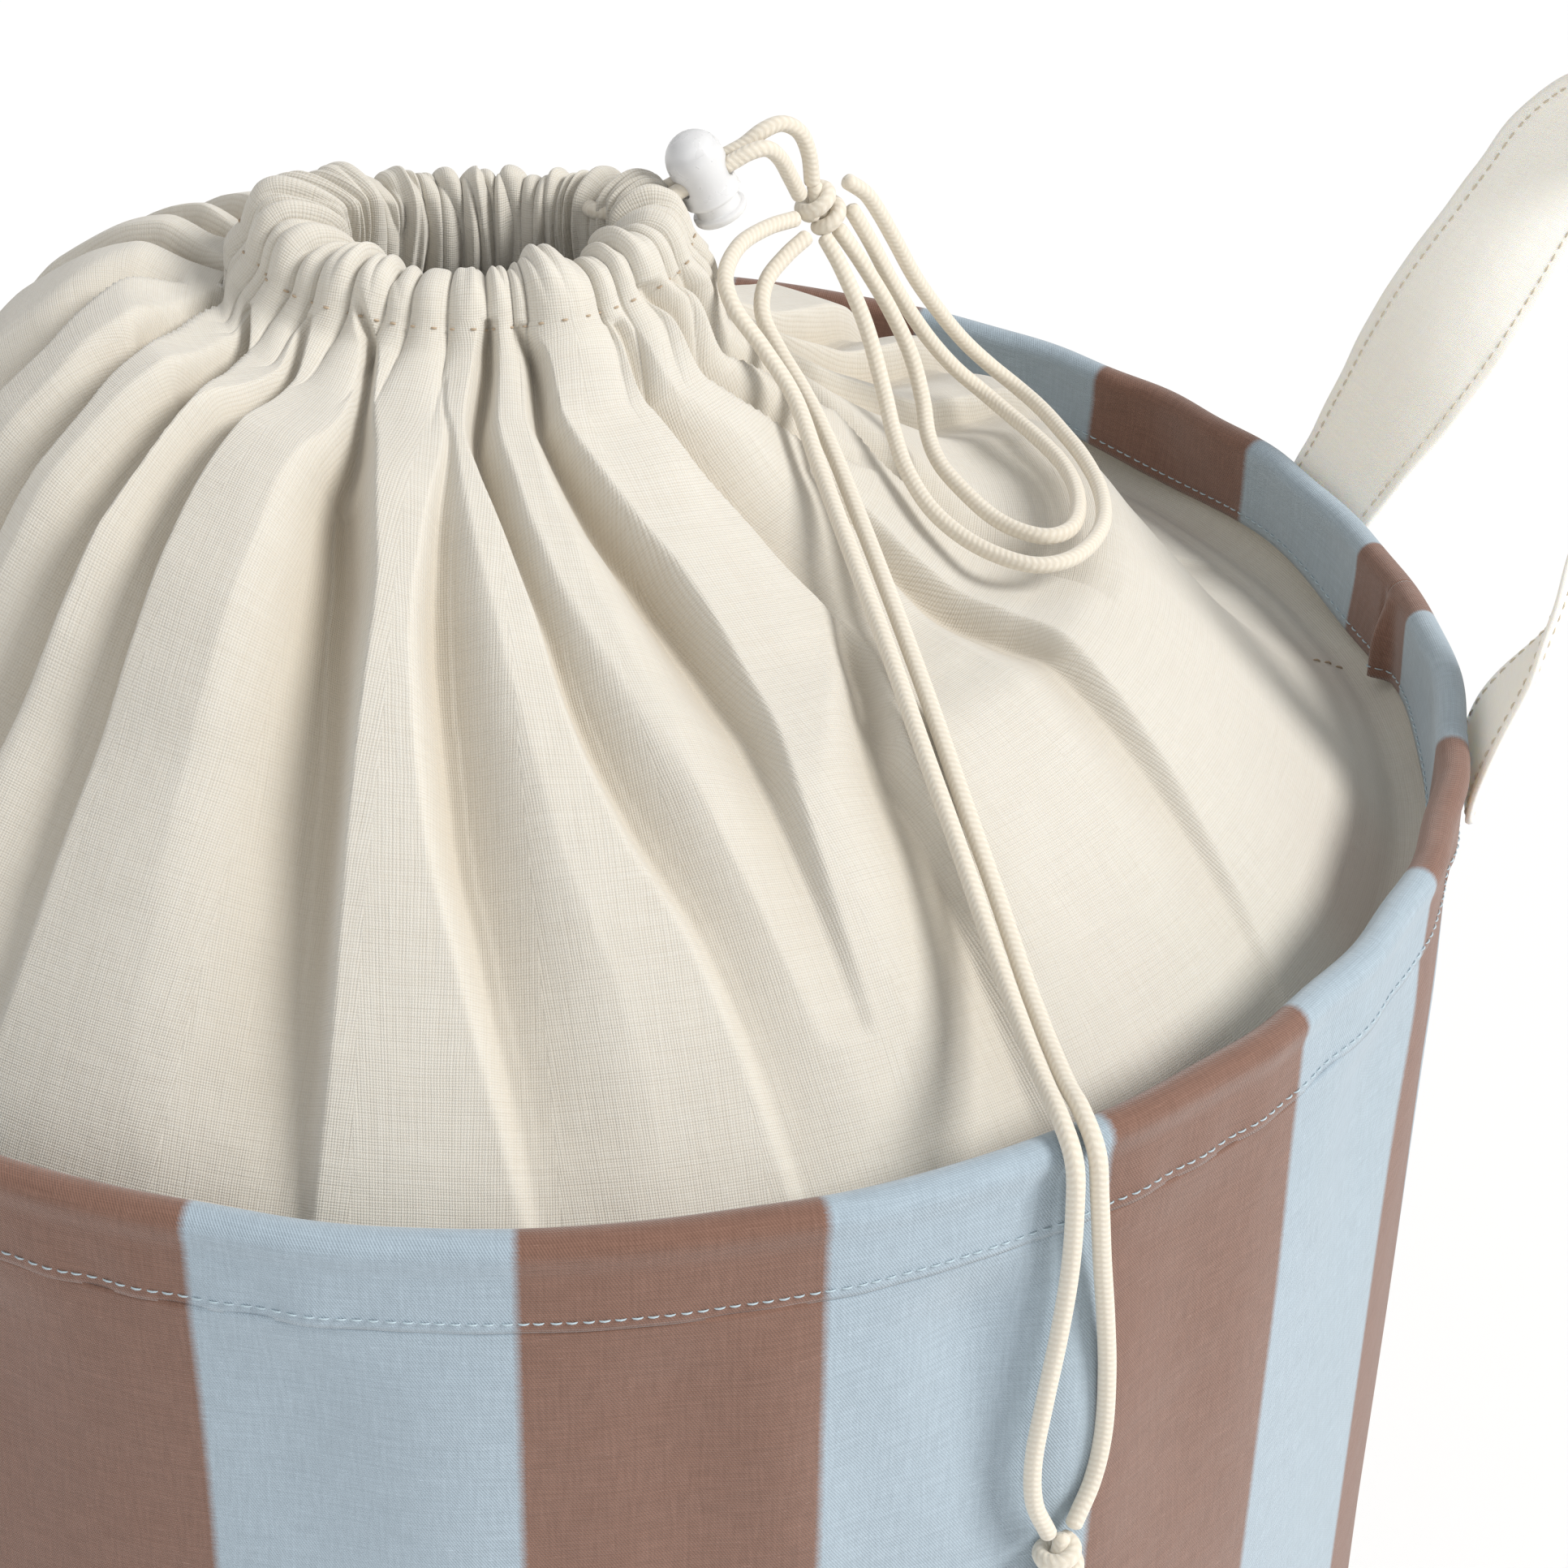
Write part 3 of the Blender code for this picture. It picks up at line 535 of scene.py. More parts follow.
def plastic(name):
    """Milky moulded plastic that lets some light through."""
    finish = Finish(name)
    place = finish.place()
    cloud = finish.noise(place, 220.0, 2.0)
    colour = finish.mix(cloud, (0.97, 0.97, 0.98), (0.90, 0.91, 0.94))
    grain = finish.noise(place, 1600.0, 2.0)
    normal = finish.bump(grain, 0.12, 0.0002)
    rough = cloud * 0.15 + 0.22
    return finish.done(
        colour, normal, rough, Subsurface_Weight=0.6, Subsurface_Radius=(0.006, 0.006, 0.006),
        Subsurface_Scale=0.5, Transmission_Weight=0.22, IOR=1.47,
    )


def steel(name):
    """Drawn steel wire."""
    finish = Finish(name)
    place = finish.place()
    streak = finish.noise(place, 900.0, 2.0)
    colour = finish.mix(streak, (0.55, 0.55, 0.57), (0.36, 0.36, 0.38))
    normal = finish.bump(streak, 0.25, 0.0001)
    return finish.done(colour, normal, streak * 0.2 + 0.25, Metallic=1.0)


def sewing_thread(name, colour_a, colour_b):
    """Twisted sewing thread."""
    finish = Finish(name)
    place = finish.place()
    twist = finish.noise(place, 1500.0, 2.0)
    colour = finish.mix(twist, colour_a, colour_b)
    normal = finish.bump(twist, 0.4, 0.0002)
    return finish.done(colour, normal, 0.6, Sheen_Weight=0.2)


BROWN = (0.190, 0.094, 0.063)
BLUE = (0.345, 0.425, 0.490)
CREAM = (0.672, 0.643, 0.578)
# The cream in shade: the darker colour for painted shade in the weave's pores and for blotches.
CREAM_DARK = (0.535, 0.480, 0.395)

cover_cotton = cotton("cover_cotton", CREAM, CREAM_DARK, 0.55)
strap_cotton = cotton("strap_cotton", (0.95, 0.925, 0.865), (0.83, 0.785, 0.705), 0.42, 0.35, through=0.5)
canvas_striped = canvas("canvas_striped", BROWN, BLUE)
canvas_plain = canvas("canvas_plain", BROWN, BLUE, striped=False)
cord_cotton = braid("cord_cotton", (0.78, 0.73, 0.635), (0.63, 0.565, 0.46))
lock_plastic = plastic("lock_plastic")
wire_steel = steel("wire_steel")
thread_blue = sewing_thread("thread_blue", (0.52, 0.63, 0.68), (0.36, 0.46, 0.52))
thread_tan = sewing_thread("thread_tan", (0.52, 0.40, 0.28), (0.40, 0.30, 0.20))
thread_cream = sewing_thread("thread_cream", (0.74, 0.67, 0.55), (0.64, 0.56, 0.44))


# --- cover

# The cover's side: radius, height over the rim, and how far it leans down towards the right.
COVER_PROFILE = (
    (217.0, -21.0, 0.0), (216.0, -25.0, 0.0), (213.5, -28.4, 0.0), (208.0, -30.0, 0.0),
    (202.0, -25.0, 0.0), (195.0, -16.1, 0.0), (182.0, -1.0, 0.0), (170.0, 11.7, 0.0),
    (155.0, 26.2, 1.2), (140.0, 38.7, 4.0), (125.0, 50.0, 14.5), (110.0, 59.8, 22.0),
    (95.0, 68.6, 22.5), (80.0, 76.2, 19.8), (67.0, 81.0, 10.5), (57.0, 84.4, 4.5),
)
# The wide gutter on the right: how far the cover has sunk there at each radius.
SLACK = (
    (100, 0), (142, 0), (150, 7), (160, 14), (172, 19), (182, 18), (190, 13), (200, 5), (206, 0), (217, 0),
)
SLACK_AZIMUTH = 112
SLACK_SPREAD = 28
DOME_ROWS = 120
COVER_COLUMNS = 1440
COLLAR_ROWS = 85
# The mouth's middle and its two half widths.
MOUTH = (-9.3, 8.4, 31.0, 20.7)
# Where the cover starts to lean towards the mouth, over what length, and how far its middle has moved then.
LEAN_FROM, LEAN_LENGTH, LEAN_X, LEAN_Y = 208, 158, -11, 3
# The cover is narrower from front to back near the mouth: by how much, from what radius, over what length.
NARROWING, NARROW_FROM, NARROW_LENGTH = 0.14, 80, 42.5
# The crest of the gathered band: azimuth, how far it stands out from the mouth's edge, and its height.
CREST = (
    (-180, 3.5, 603.5), (-150, 6.5, 606.0), (-125, 12.5, 609.5), (-110, 14.5, 610.5), (-90, 12.0, 608.3),
    (-60, 9.0, 606.0), (-30, 6.0, 604.2), (0, 5.0, 603.2), (30, 6.0, 604.2), (60, 7.5, 606.2),
    (90, 8.0, 608.4), (105, 8.0, 609.4), (130, 6.5, 607.8), (155, 4.5, 605.0), (180, 3.5, 603.5),
)
# The band from below its seam, over the crest and down inside the mouth: share of the crest's reach,
# millimetres further out, millimetres below the crest, and the radius that the folds go by.
COLLAR = (
    (1, 12.5, 14.5, 49.0), (1, 8.2, 9.5, 43.5), (1, 6.3, 4.5, 40.0), (1, 3.6, 1.0, 37.5), (1, 0, 0, 35.0),
    (0.45, 0, 1.6, 33.0), (0, 0.4, 5.0, 31.0), (0, 0, 10.0, 29.0), (0, 0.8, 17.0, 28.0),
    (0, 2.5, 24.0, 27.0), (0, 5.0, 30.0, 26.0),
)
SEAM_STATION, CREST_STATION = 3, 6


def round_mouth(a, outward, level):
    """Points round the mouth at the angles a in radians, so far out from its edge."""
    x = MOUTH[0] + np.sin(a) * (MOUTH[2] + outward)
    return np.stack([x, MOUTH[1] - np.cos(a) * (MOUTH[3] + outward), level + 0 * a], -1)


def on_crest(azimuth):
    """How far the crest stands out at each azimuth, and its height."""
    crest = np.array(CREST)
    return (curve_through(crest[:, 0], crest[:, i], azimuth) for i in (1, 2))


def cover_base():
    """The cover without its folds, as a grid of points.

    Also each row's radius for the folds, its length along the cloth, the columns' azimuths, and the
    rows of the crest and of the band's seam.
    """
    profile = np.array(COVER_PROFILE)
    along = distances(profile[:, :2])
    spots = np.linspace(0, along[-1], DOME_ROWS)
    radius, height, full = (curve_through(along, profile[:, i], spots) for i in range(3))
    azimuth = -180 + 360 * np.arange(COVER_COLUMNS) / COVER_COLUMNS
    a = np.radians(azimuth)
    to_mouth = np.clip((LEAN_FROM - radius) / LEAN_LENGTH, 0, 1)[:, None]
    narrow = 1 - NARROWING * np.clip((NARROW_FROM - radius) / NARROW_LENGTH, 0, 1)[:, None]
    x = np.sin(a)[None] * radius[:, None] + LEAN_X * to_mouth
    y = -np.cos(a)[None] * radius[:, None] * narrow + LEAN_Y * to_mouth
    z = RIM_HEIGHT + height[:, None] - full[:, None] * np.sin(a)[None]
    slack = np.array(SLACK)
    sunk = curve_through(slack[:, 0], slack[:, 1], radius)
    z -= sunk[:, None] * np.exp(-(wrap(azimuth - SLACK_AZIMUTH) / SLACK_SPREAD) ** 2)[None]
    dome = np.stack([x, y, z], 2)
    out, top = on_crest(azimuth)
    stations = np.array([dome[-3], dome[-1]] + [
        round_mouth(a, out * share + further, top - below) for share, further, below, _ in COLLAR
    ])
    fold_radius = [60.5, 57.0, *(row[3] for row in COLLAR)]
    lengths = np.linalg.norm(np.diff(stations, axis=0), axis=2).mean(1)
    knots = np.concatenate([[0], np.cumsum(lengths)])
    more = np.linspace(knots[1], knots[-1], COLLAR_ROWS + 1)[1:]
    collar = np.empty((len(more), len(a), 3))
    for column in range(len(a)):
        for axis in range(3):
            collar[:, column, axis] = curve_through(knots, stations[:, column, axis], more)
    base = np.concatenate([dome, collar])
    radius = np.concatenate([radius, curve_through(knots, fold_radius, more)])
    spots = np.concatenate([spots, spots[-1] + more - knots[1]])
    crest_row = DOME_ROWS + int(np.argmin(np.abs(more - knots[CREST_STATION])))
    seam_row = DOME_ROWS + int(np.argmin(np.abs(more - knots[SEAM_STATION])))
    return base, radius, spots, azimuth, crest_row, seam_row


# Each fold of the cover: which side of its valley is steep, then at each radius the azimuth of the
# crisp edge, the valley's width in degrees and its depth in millimetres.
FOLDS = (
    (1, (40, -38, 3, 3), (50, -29, 3, 5), (60, -24.7, 4, 8), (70, -22, 7, 12), (80, -20.4, 11, 15),
     (90, -18.9, 13, 16), (100, -17.8, 13.5, 16), (120, -17, 14, 14.5), (140, -16.4, 14, 12.5),
     (160, -15.8, 13, 10), (180, -15.4, 12, 6.5), (195, -15.2, 10, 3), (206, -15, 9, 0.5)),
    (-1, (52, -10, 1.5, 1), (62, -7.9, 1.8, 2), (70, -7.4, 2.4, 3.5), (80, -7.2, 4, 6), (90, -7.2, 5.5, 8),
     (100, -7.4, 7, 9.5), (110, -7.4, 8, 10.5), (120, -7.2, 9, 10.5), (140, -6.4, 10, 9.5),
     (160, -4.4, 10, 7.5), (180, -2.4, 9, 4.5), (200, -0.8, 8, 1.2)),
    (-1, (42, 1.5, 3, 4), (48, 0.0, 4, 7), (60, -1.2, 5, 9), (70, 0.6, 4.6, 9), (80, 2.6, 3.6, 8),
     (90, 4.0, 3.6, 7.5), (100, 5.2, 4.2, 7.5), (110, 5.9, 5.5, 8), (120, 6.6, 6.5, 8), (140, 8.8, 7.5, 7),
     (160, 12, 7, 5), (180, 13.6, 6, 3), (200, 14.4, 6, 0.7)),
    (1, (43, 9.5, 2, 3), (50, 13.5, 5, 7), (60, 15.6, 6.5, 9.5), (70, 18.4, 9, 12), (80, 21.4, 11, 13),
     (90, 23.4, 12, 13), (100, 23.9, 11.5, 12), (110, 24, 11, 10.5), (120, 23.8, 9.5, 9), (140, 22, 8, 6.5),
     (160, 21, 7, 3.5), (178, 20.6, 6, 0.8)),
    (-1, (46, 37.5, 4, 3), (52, 39, 7, 5), (60, 41.5, 12, 7), (70, 42.5, 17, 8.5), (80, 44.5, 15, 7.5),
     (90, 44, 12, 5.5), (100, 44, 9, 3.5), (112, 44, 7, 0.6)),
    (-1, (42, 51, 6, 4), (50, 57, 10, 7), (60, 64, 12, 8.5), (70, 71, 11, 7.5), (80, 77, 8, 4.5),
     (88, 80, 7, 0.8)),
    (-1, (44, 66, 7, 3), (52, 72, 8, 5.5), (62, 81, 9, 6), (72, 89, 8, 4), (82, 94, 7, 0.8)),
    (-1, (48, 93, 8, 3), (62, 97, 9, 5), (74, 99, 9, 5.5), (84, 92, 10, 6), (94, 84, 10, 6),
     (110, 77, 10, 5), (128, 73, 9, 2.5), (142, 71, 8, 0.5)),
    (1, (78, 69, 6, 1), (90, 66.5, 7, 5.5), (100, 63, 8, 7.5), (115, 61, 9, 8), (130, 60, 9, 7.5),
     (150, 57.5, 9, 6), (170, 55, 8, 4), (190, 52.5, 7, 2), (206, 50.5, 6, 0.4)),
    (1, (98, 46, 3, 0.5), (105, 44, 4, 2.5), (115, 41, 5.5, 6), (125, 37.5, 7, 7.5), (140, 33.5, 8, 8),
     (160, 32, 8, 6.5), (180, 30.5, 7, 4), (198, 29.4, 6, 1.5), (208, 29, 5, 0.2)),
    (1, (46, -50, 3, 2), (56, -46, 4, 5), (66, -43.6, 5.5, 7), (80, -42.4, 7, 8), (90, -42, 8, 8.8),
     (100, -41.5, 8, 9), (110, -40.8, 8, 9), (120, -40.2, 8, 8.5), (150, -39, 8, 6), (185, -38, 7, 2.5),
     (205, -38, 6, 0.4)),
    (1, (50, -70, 4, 3), (60, -61, 8, 8), (70, -55.6, 8, 11), (80, -52.4, 8.5, 11.5), (90, -51, 9, 11),
     (100, -50.2, 9, 10.5), (120, -49.5, 9, 9.5), (150, -48.5, 8, 6.5), (185, -47.2, 7, 2.8),
     (205, -47, 6, 0.5)),
    (1, (52, -96, 6, 3), (60, -86, 7, 5), (70, -74, 8, 8.5), (80, -68, 8, 10), (90, -65.6, 8.5, 10),
     (100, -63.5, 8.5, 10), (120, -62, 8.5, 9), (150, -61, 8, 6), (185, -60.2, 7, 2.5), (205, -60, 6, 0.4)),
    (1, (66, -96, 8, 2), (80, -90, 12, 6.5), (90, -83.6, 13, 7.5), (100, -79, 13, 7.5), (120, -77, 13, 6.5),
     (150, -75, 12, 4.5), (185, -74.2, 10, 2), (205, -74, 9, 0.3)),
)


# The folds that the photograph doesn't show lie between these azimuths. Each has these rows: radius,
# share of its depth and share of its width.
HIDDEN_FROM, HIDDEN_TO = 112.0, 258
HIDDEN_ROWS = (
    (70, 0.85, 0.75), (85, 1.0, 0.95), (110, 0.95, 1.0), (140, 0.7, 0.95), (170, 0.4, 0.85),
    (190, 0.2, 0.8), (206, 0.03, 0.7),
)


def hidden_folds():
    """Folds of the same kind for the back and the far left."""
    rng = np.random.default_rng(11)
    made = []
    centre = HIDDEN_FROM
    while centre < HIDDEN_TO:
        steep = 1 if rng.random() < 0.6 else -1
        twist = rng.uniform(-9, 9)
        width = rng.uniform(7, 12)
        depth = rng.uniform(7, 13)
        start = rng.choice([44, 52, 60])
        rows = [(start, centre + twist, width * 0.4, depth * 0.35)]
        for radius, share, wide in HIDDEN_ROWS:
            drift = twist * max(0, (100 - radius) / 60)
            rows.append((radius, centre + drift + rng.uniform(-0.6, 0.6), width * wide, depth * share))
        made.append((steep, *rows))
        centre += rng.uniform(10.5, 15.5)
    return tuple(made)


TO_DEGREES = 57.3


def fold_depths(radius, azimuth):
    """How far each point lies below the smooth cover, and how far a fold's edge leans over its valley."""
    drop = np.zeros((len(radius), len(azimuth)))
    slide = np.zeros_like(drop)
    for steep, *rows in FOLDS + hidden_folds():
        rows = np.array(rows, float)
        edge, width, depth = (curve_through(rows[:, 0], rows[:, i], radius)[:, None] for i in (1, 2, 3))
        inside = (radius >= rows[0, 0]) & (radius <= rows[-1, 0])
        depth = np.where(inside[:, None], depth, 0)
        away = wrap(azimuth[None] - edge) * -steep
        wall = 0.42 * depth + 1.2 + 0.022 * np.clip(radius - 60, 0, None)[:, None]
        wall = wall / np.maximum(radius, 20)[:, None] * TO_DEGREES
        steep_side = 1 - smooth(-away / wall)
        gentle = 1 - smooth(away / width) ** 0.85
        shape = np.where(away >= 0, gentle, steep_side)
        crest = np.exp(-((away + 1.6 * wall) / (2.4 * wall)) ** 2) * (away < 0.5 * wall)
        drop = np.maximum(drop, shape * depth) - 0.07 * crest * depth
        slide += steep * -1 * np.exp(-((away + 0.9 * wall) / (1.1 * wall)) ** 2) * depth * 0.16
    return drop, slide


# The creases between the puffs of the gathered band, by azimuth.
COLLAR_CREASES = (
    -174, -165, -158, -146, -139, -128, -121, -110, -98, -92, -80, -73, -60.7, -52, -39.8, -28.5, -21, -10,
    1.3, 8.7, 13, 34.7, 42, 49, 62, 70, 81, 89, 101, 108, 119, 126, 138, 145, 156, 162, 173,
)


def gathers(radius, azimuth):
    """How far the band's puffs stand out between their creases."""
    creases = np.array(COLLAR_CREASES, float)
    wander = np.interp(radius, [36, 44, 60], [0.0, 1.0, 5.0])
    near = ramp(radius, 64, 42)
    shift = waves(azimuth, 5, 2, 6, 4)
    out = np.zeros((len(radius), len(azimuth)))
    for row in range(len(radius)):
        if near[row] <= 0:
            continue
        at = azimuth + shift * wander[row]
        i = np.searchsorted(creases, at) % len(creases)
        low, high = creases[i - 1], creases[i]
        span = (high - low) % 360
        u = ((at - low) % 360) / span
        puff = np.clip(4 * u * (1 - u), 0, 1) ** 0.6
        size = np.clip(span / 11.0, 0.5, 1.7) * 3.2
        out[row] = (puff * size - 1.7) * near[row]
    return out


def fine_gathers(spots, azimuth, inner):
    """The finer wrinkles of the mouth's edge and inner wall."""
    drift = np.cumsum(1 + 0.55 * waves(azimuth, 8, 4, 14, 6))
    drift = drift / drift[-1] * 2 * math.pi
    lean = (spots - spots.mean())[:, None] * 0.05
    sway = np.sin(lean * 2.1 + 3.0 * waves(azimuth, 23, 2, 6, 4)[None])
    a = np.sin(19 * drift[None] + lean + 1.2 * sway + 2.0 * waves(azimuth, 21, 3, 9, 4)[None])
    b = np.sin(31 * drift[None] - lean * 1.5 + 1.0 * sway + 2.0 * waves(azimuth, 22, 3, 9, 4)[None])
    sharp = 1 - np.abs(a) ** 0.8
    return (0.4 - sharp) * 2.0 * inner[:, None] + b * 0.55 * inner[:, None]


SEWN_SECTOR = 12.0
# Depth of a fold in millimetres at which the painted fold shade is full.
FOLD_SHADE_FULL_DEPTH = 14.0


def make_cover():
    """The cover and its gathered band as one sheet, with its grid of points and two of its rows."""
    base, radius, spots, azimuth, crest_row, seam_row = cover_base()
    normal = normals_of(base, round_columns=True)
    if normal[DOME_ROWS // 6, COVER_COLUMNS // 2, 2] < 0:
        normal = -normal
    row = np.arange(len(radius))
    drop, slide = fold_depths(radius, azimuth)
    fade = ramp(radius, 38.0, 46.0) * ramp(radius, 210, 203)
    drop *= fade[:, None]
    slide *= fade[:, None]
    puffs = gathers(radius, azimuth) * (0.35 + 0.65 * ramp(row, crest_row + 22, crest_row))[:, None]
    inner = ramp(row, crest_row - 14, crest_row + 6)
    fine = fine_gathers(spots, azimuth, inner)
    ripple = waves(azimuth, 3, 9, 26, 10)[None] * 0.35
    ripple = ripple * (ramp(radius, 215, 200) * ramp(radius, 50, 70))[:, None]
    points = base + normal * (puffs + fine + ripple - drop)[:, :, None]
    tangent = unit(np.roll(base, -1, 1) - np.roll(base, 1, 1))
    points += tangent * slide[:, :, None]
    crown = ramp(row, crest_row - 22, crest_row) * ramp(row, crest_row + 26, crest_row + 4)
    points[:, :, 2] += crown[:, None] * waves(azimuth, 31, 3, 12, 6)[None] * 1.3
    faces, fr, fc = grid_faces(len(radius), len(azimuth), round_columns=True)
    at = azimuth[0] + 360 * fc / len(azimuth)
    middle = (np.floor(at[:, :1] / SEWN_SECTOR) + 0.5) * SEWN_SECTOR
    across = np.radians(at - middle) * np.maximum(radius[fr], 45)
    # Painted fold shade: how deep each corner lies in a fold, passed to the cotton in the thread attribute.
    shade = np.clip(drop / FOLD_SHADE_FULL_DEPTH, 0, 1)[fr, fc % len(azimuth)]
    thread = np.stack([across + middle * 3.7, spots[fr], shade], 2)
    made = add_mesh("cover", points.reshape(-1, 3), faces, cover_cotton, thread)
    return made, points, azimuth, crest_row, seam_row


cover, cover_points, cover_azimuth, _, seam_row = make_cover()
stand_in(cover, "rim", "cover_cotton", "drawstring_cover", "drawstring_casing")


def row_normals(row):
    """Normals of the cover along one of its rows."""
    return normals_of(cover_points[row - 2:row + 3], round_columns=True)[2]


casing_line, casing_normal = cover_points[seam_row], row_normals(seam_row)
cover_middle = np.array([LEAN_X, LEAN_Y, RIM_HEIGHT + 40])
if np.sum(casing_normal * (casing_line - cover_middle)) < 0:
    casing_normal = -casing_normal
casing_stitches = stitches(
    "casing_stitches", casing_line, casing_normal, 5.4, 1.5, 0.24, thread_tan, closed=True, lift=0.05,
)
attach(casing_stitches, "rim")

seam_column = int(np.argmin(np.abs(cover_azimuth - SEAM_AZIMUTH - 2.5)))
seam_rows = [row for row in range(8, 60) if 198 < np.hypot(*cover_points[row, seam_column, :2]) < 215]
seam_normal = np.array([row_normals(row)[seam_column] for row in seam_rows])
seam_normal *= np.sign(seam_normal[:, 2:3])
gutter_stitches = stitches(
    "gutter_seam_stitches", cover_points[seam_rows, seam_column], seam_normal, 3.2, 2.3, 0.26, thread_tan,
)
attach(gutter_stitches, "rim")


# --- walls and hems

STRIPE_EDGES = (
    -96.0, -81.3, -65.8, -50.2, -34.5, -18.82, -2.99, 12.99, 28.5, 44.05, 59.69, 75.48, 90.44, 100.46,
    115.55, 131.54, 147.1, 162.6, 178.2, 193.7, 209.3, 224.8, 240.4, 255.9, 271.4, 287.0,
)


def stripe_at(azimuth):
    """A number that passes a whole number at each edge between stripes; odd steps are brown."""
    return np.interp(azimuth, STRIPE_EDGES, np.arange(len(STRIPE_EDGES)) + 1.0)


# Dents and bulges of the wall: azimuth, half width in degrees, depth, height of the middle, half height.
WALL_DENTS = (
    (21.5, 3.2, -4.0, 452, 55), (-14.0, 4.5, -2.8, 440, 40), (5.5, 3.0, -1.8, 430, 45),
    (36.0, 4.0, -2.2, 425, 50), (54.0, 4.0, -3.0, 455, 40), (70.0, 4.0, -3.5, 440, 60),
    (-32.0, 5.0, -3.2, 445, 50), (11.5, 2.6, 1.6, 430, 50), (28.0, 3.0, 1.6, 430, 60),
    (-5.0, 4.0, 1.4, 420, 50), (63.0, 3.0, 2.0, 440, 50),
)


def wall_move(azimuth, z):
    """How far the wall's cloth stands out from a true cylinder, in millimetres."""
    slow = waves(azimuth + (RIM_HEIGHT - z) * 0.03, 41, 3, 9, 5) * 1.8
    folds = waves(azimuth - (RIM_HEIGHT - z) * 0.02, 42, 10, 24, 8) * 0.9
    out = (slow + folds) * ramp(z, 474, 420)
    near = ramp(z, 482, 462)
    for centre, wide, depth, middle, tall in WALL_DENTS:
        across = np.exp(-(wrap(azimuth - centre - (middle - z) * 0.03) / wide) ** 2)
        out = out + depth * across * np.exp(-((z - middle) / tall) ** 2) * near
    return out


def ring_point(azimuth, radius, z):
    """Points round the bag's axis."""
    a = np.radians(azimuth)
    return np.stack([np.sin(a) * radius, -np.cos(a) * radius, np.broadcast_to(z, np.shape(a)) + 0.0 * a], -1)


HEM_FACE = WALL_RADIUS + 0.15
FLAT_HEM_TOP = 5


def hem_line():
    """The hem's outer face as (radius, height): up the outside, over the hoop and down the inside."""
    middle = RIM_HEIGHT - HEM_FOLD_RADIUS
    low = middle - FLAT_HEM_TOP
    line = [(HEM_FACE, z) for z in np.linspace(RIM_HEIGHT - HEM_DEPTH - 0.2, low, 12)]
    line += [(HEM_FACE + 0.85 * smooth(t), low + FLAT_HEM_TOP * t) for t in (0.33, 0.66)]
    for turn in np.radians(np.linspace(0, 180, 19)):
        out, up = HEM_FOLD_RADIUS * math.cos(turn), HEM_FOLD_RADIUS * math.sin(turn)
        line.append((HOOP_RADIUS + out, middle + up))
    inside = HOOP_RADIUS - HEM_FOLD_RADIUS
    line += [(inside + 0.6 * smooth(t), middle - t * 19.5) for t in np.linspace(0.1, 1, 14)]
    return np.array(line)


def hem_points(azimuth, line, depth):
    """The hem's face moved inwards by depth, with soft waves where it hangs inside."""
    step = np.gradient(line, axis=0)
    out = np.column_stack([step[:, 1], -step[:, 0]])
    line = line - unit(out) * depth
    az, i = np.meshgrid(azimuth, np.arange(len(line)))
    radius, z = line[i, 0], line[i, 1]
    inside = ramp(i, len(line) - 13, len(line) - 1)
    radius = radius - inside * (1.0 + 1.2 * waves(az, 51, 8, 22, 8))
    pinch = ramp(i, len(line) - 20, len(line) - 6)
    radius = radius - pinch * 4.5 * np.exp(-(wrap(az - SEAM_AZIMUTH + 0.9) / 0.8) ** 2)
    radius = radius + pinch * 1.2 * np.exp(-(wrap(az - SEAM_AZIMUTH - 0.5) / 0.35) ** 2)
    z = z + inside * waves(az, 52, 6, 15, 6) * 1.6
    outer = ramp(i, 12, 0)
    radius = radius + 0.35 * waves(az, 53, 12, 40, 10) * (1 - inside)
    radius = radius + outer * 0.25 * waves(az, 54, 40, 90, 10)
    z = z + 0.4 * waves(az, 55, 5, 14, 6) * ramp(i, 4, 14) * (1 - inside)
    return ring_point(az, radius, z)


def cloth_panel(name, outer, inner, azimuth, height):
    """A panel of canvas with both its faces and all four edges."""
    rows, columns = outer.shape[:2]
    ring = np.concatenate([outer, inner[::-1]], 0)
    faces, fr, fc = grid_faces(2 * rows, columns, round_rows=True)
    r = np.arange(rows - 1)
    for column, order in ((0, 1), (columns - 1, -1)):
        corner_rows = np.stack([r, r + 1, 2 * rows - 2 - r, 2 * rows - 1 - r], 1)[:, ::order]
        faces = np.vstack([faces, corner_rows * columns + column])
        fr = np.vstack([fr, corner_rows])
        fc = np.vstack([fc, np.full(corner_rows.shape, column)])
    at = azimuth[fc]
    heights = np.concatenate([height, height[::-1]])
    thread = np.stack([np.radians(at) * WALL_RADIUS, heights[fr % (2 * rows)], np.zeros(fr.shape)], 2)
    made = add_mesh(name, ring.reshape(-1, 3), faces, canvas_striped, thread, stripe_at(at))
    return made


SIDES = (("front", SEAM_AZIMUTH - 180), ("back", SEAM_AZIMUTH))
WALL_TOP = 478.2


def build_walls():
    for side, first in SIDES:
        azimuth = np.linspace(first, first + 180, 620)
        z = np.concatenate([np.linspace(0.2, 350, 60, endpoint=False), np.linspace(350, WALL_TOP, 90)])
        az, zz = np.meshgrid(azimuth, z)
        move = wall_move(az, zz) * ramp(zz, 0, 40)
        outer = ring_point(az, WALL_RADIUS + move, zz)
        inner = ring_point(az, WALL_RADIUS - CANVAS + move, zz)
        made = cloth_panel(f"wall_{side}_cloth", outer, inner, azimuth, z)
        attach(made, "base")
        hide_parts(f"wall_{side}")
        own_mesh(made)


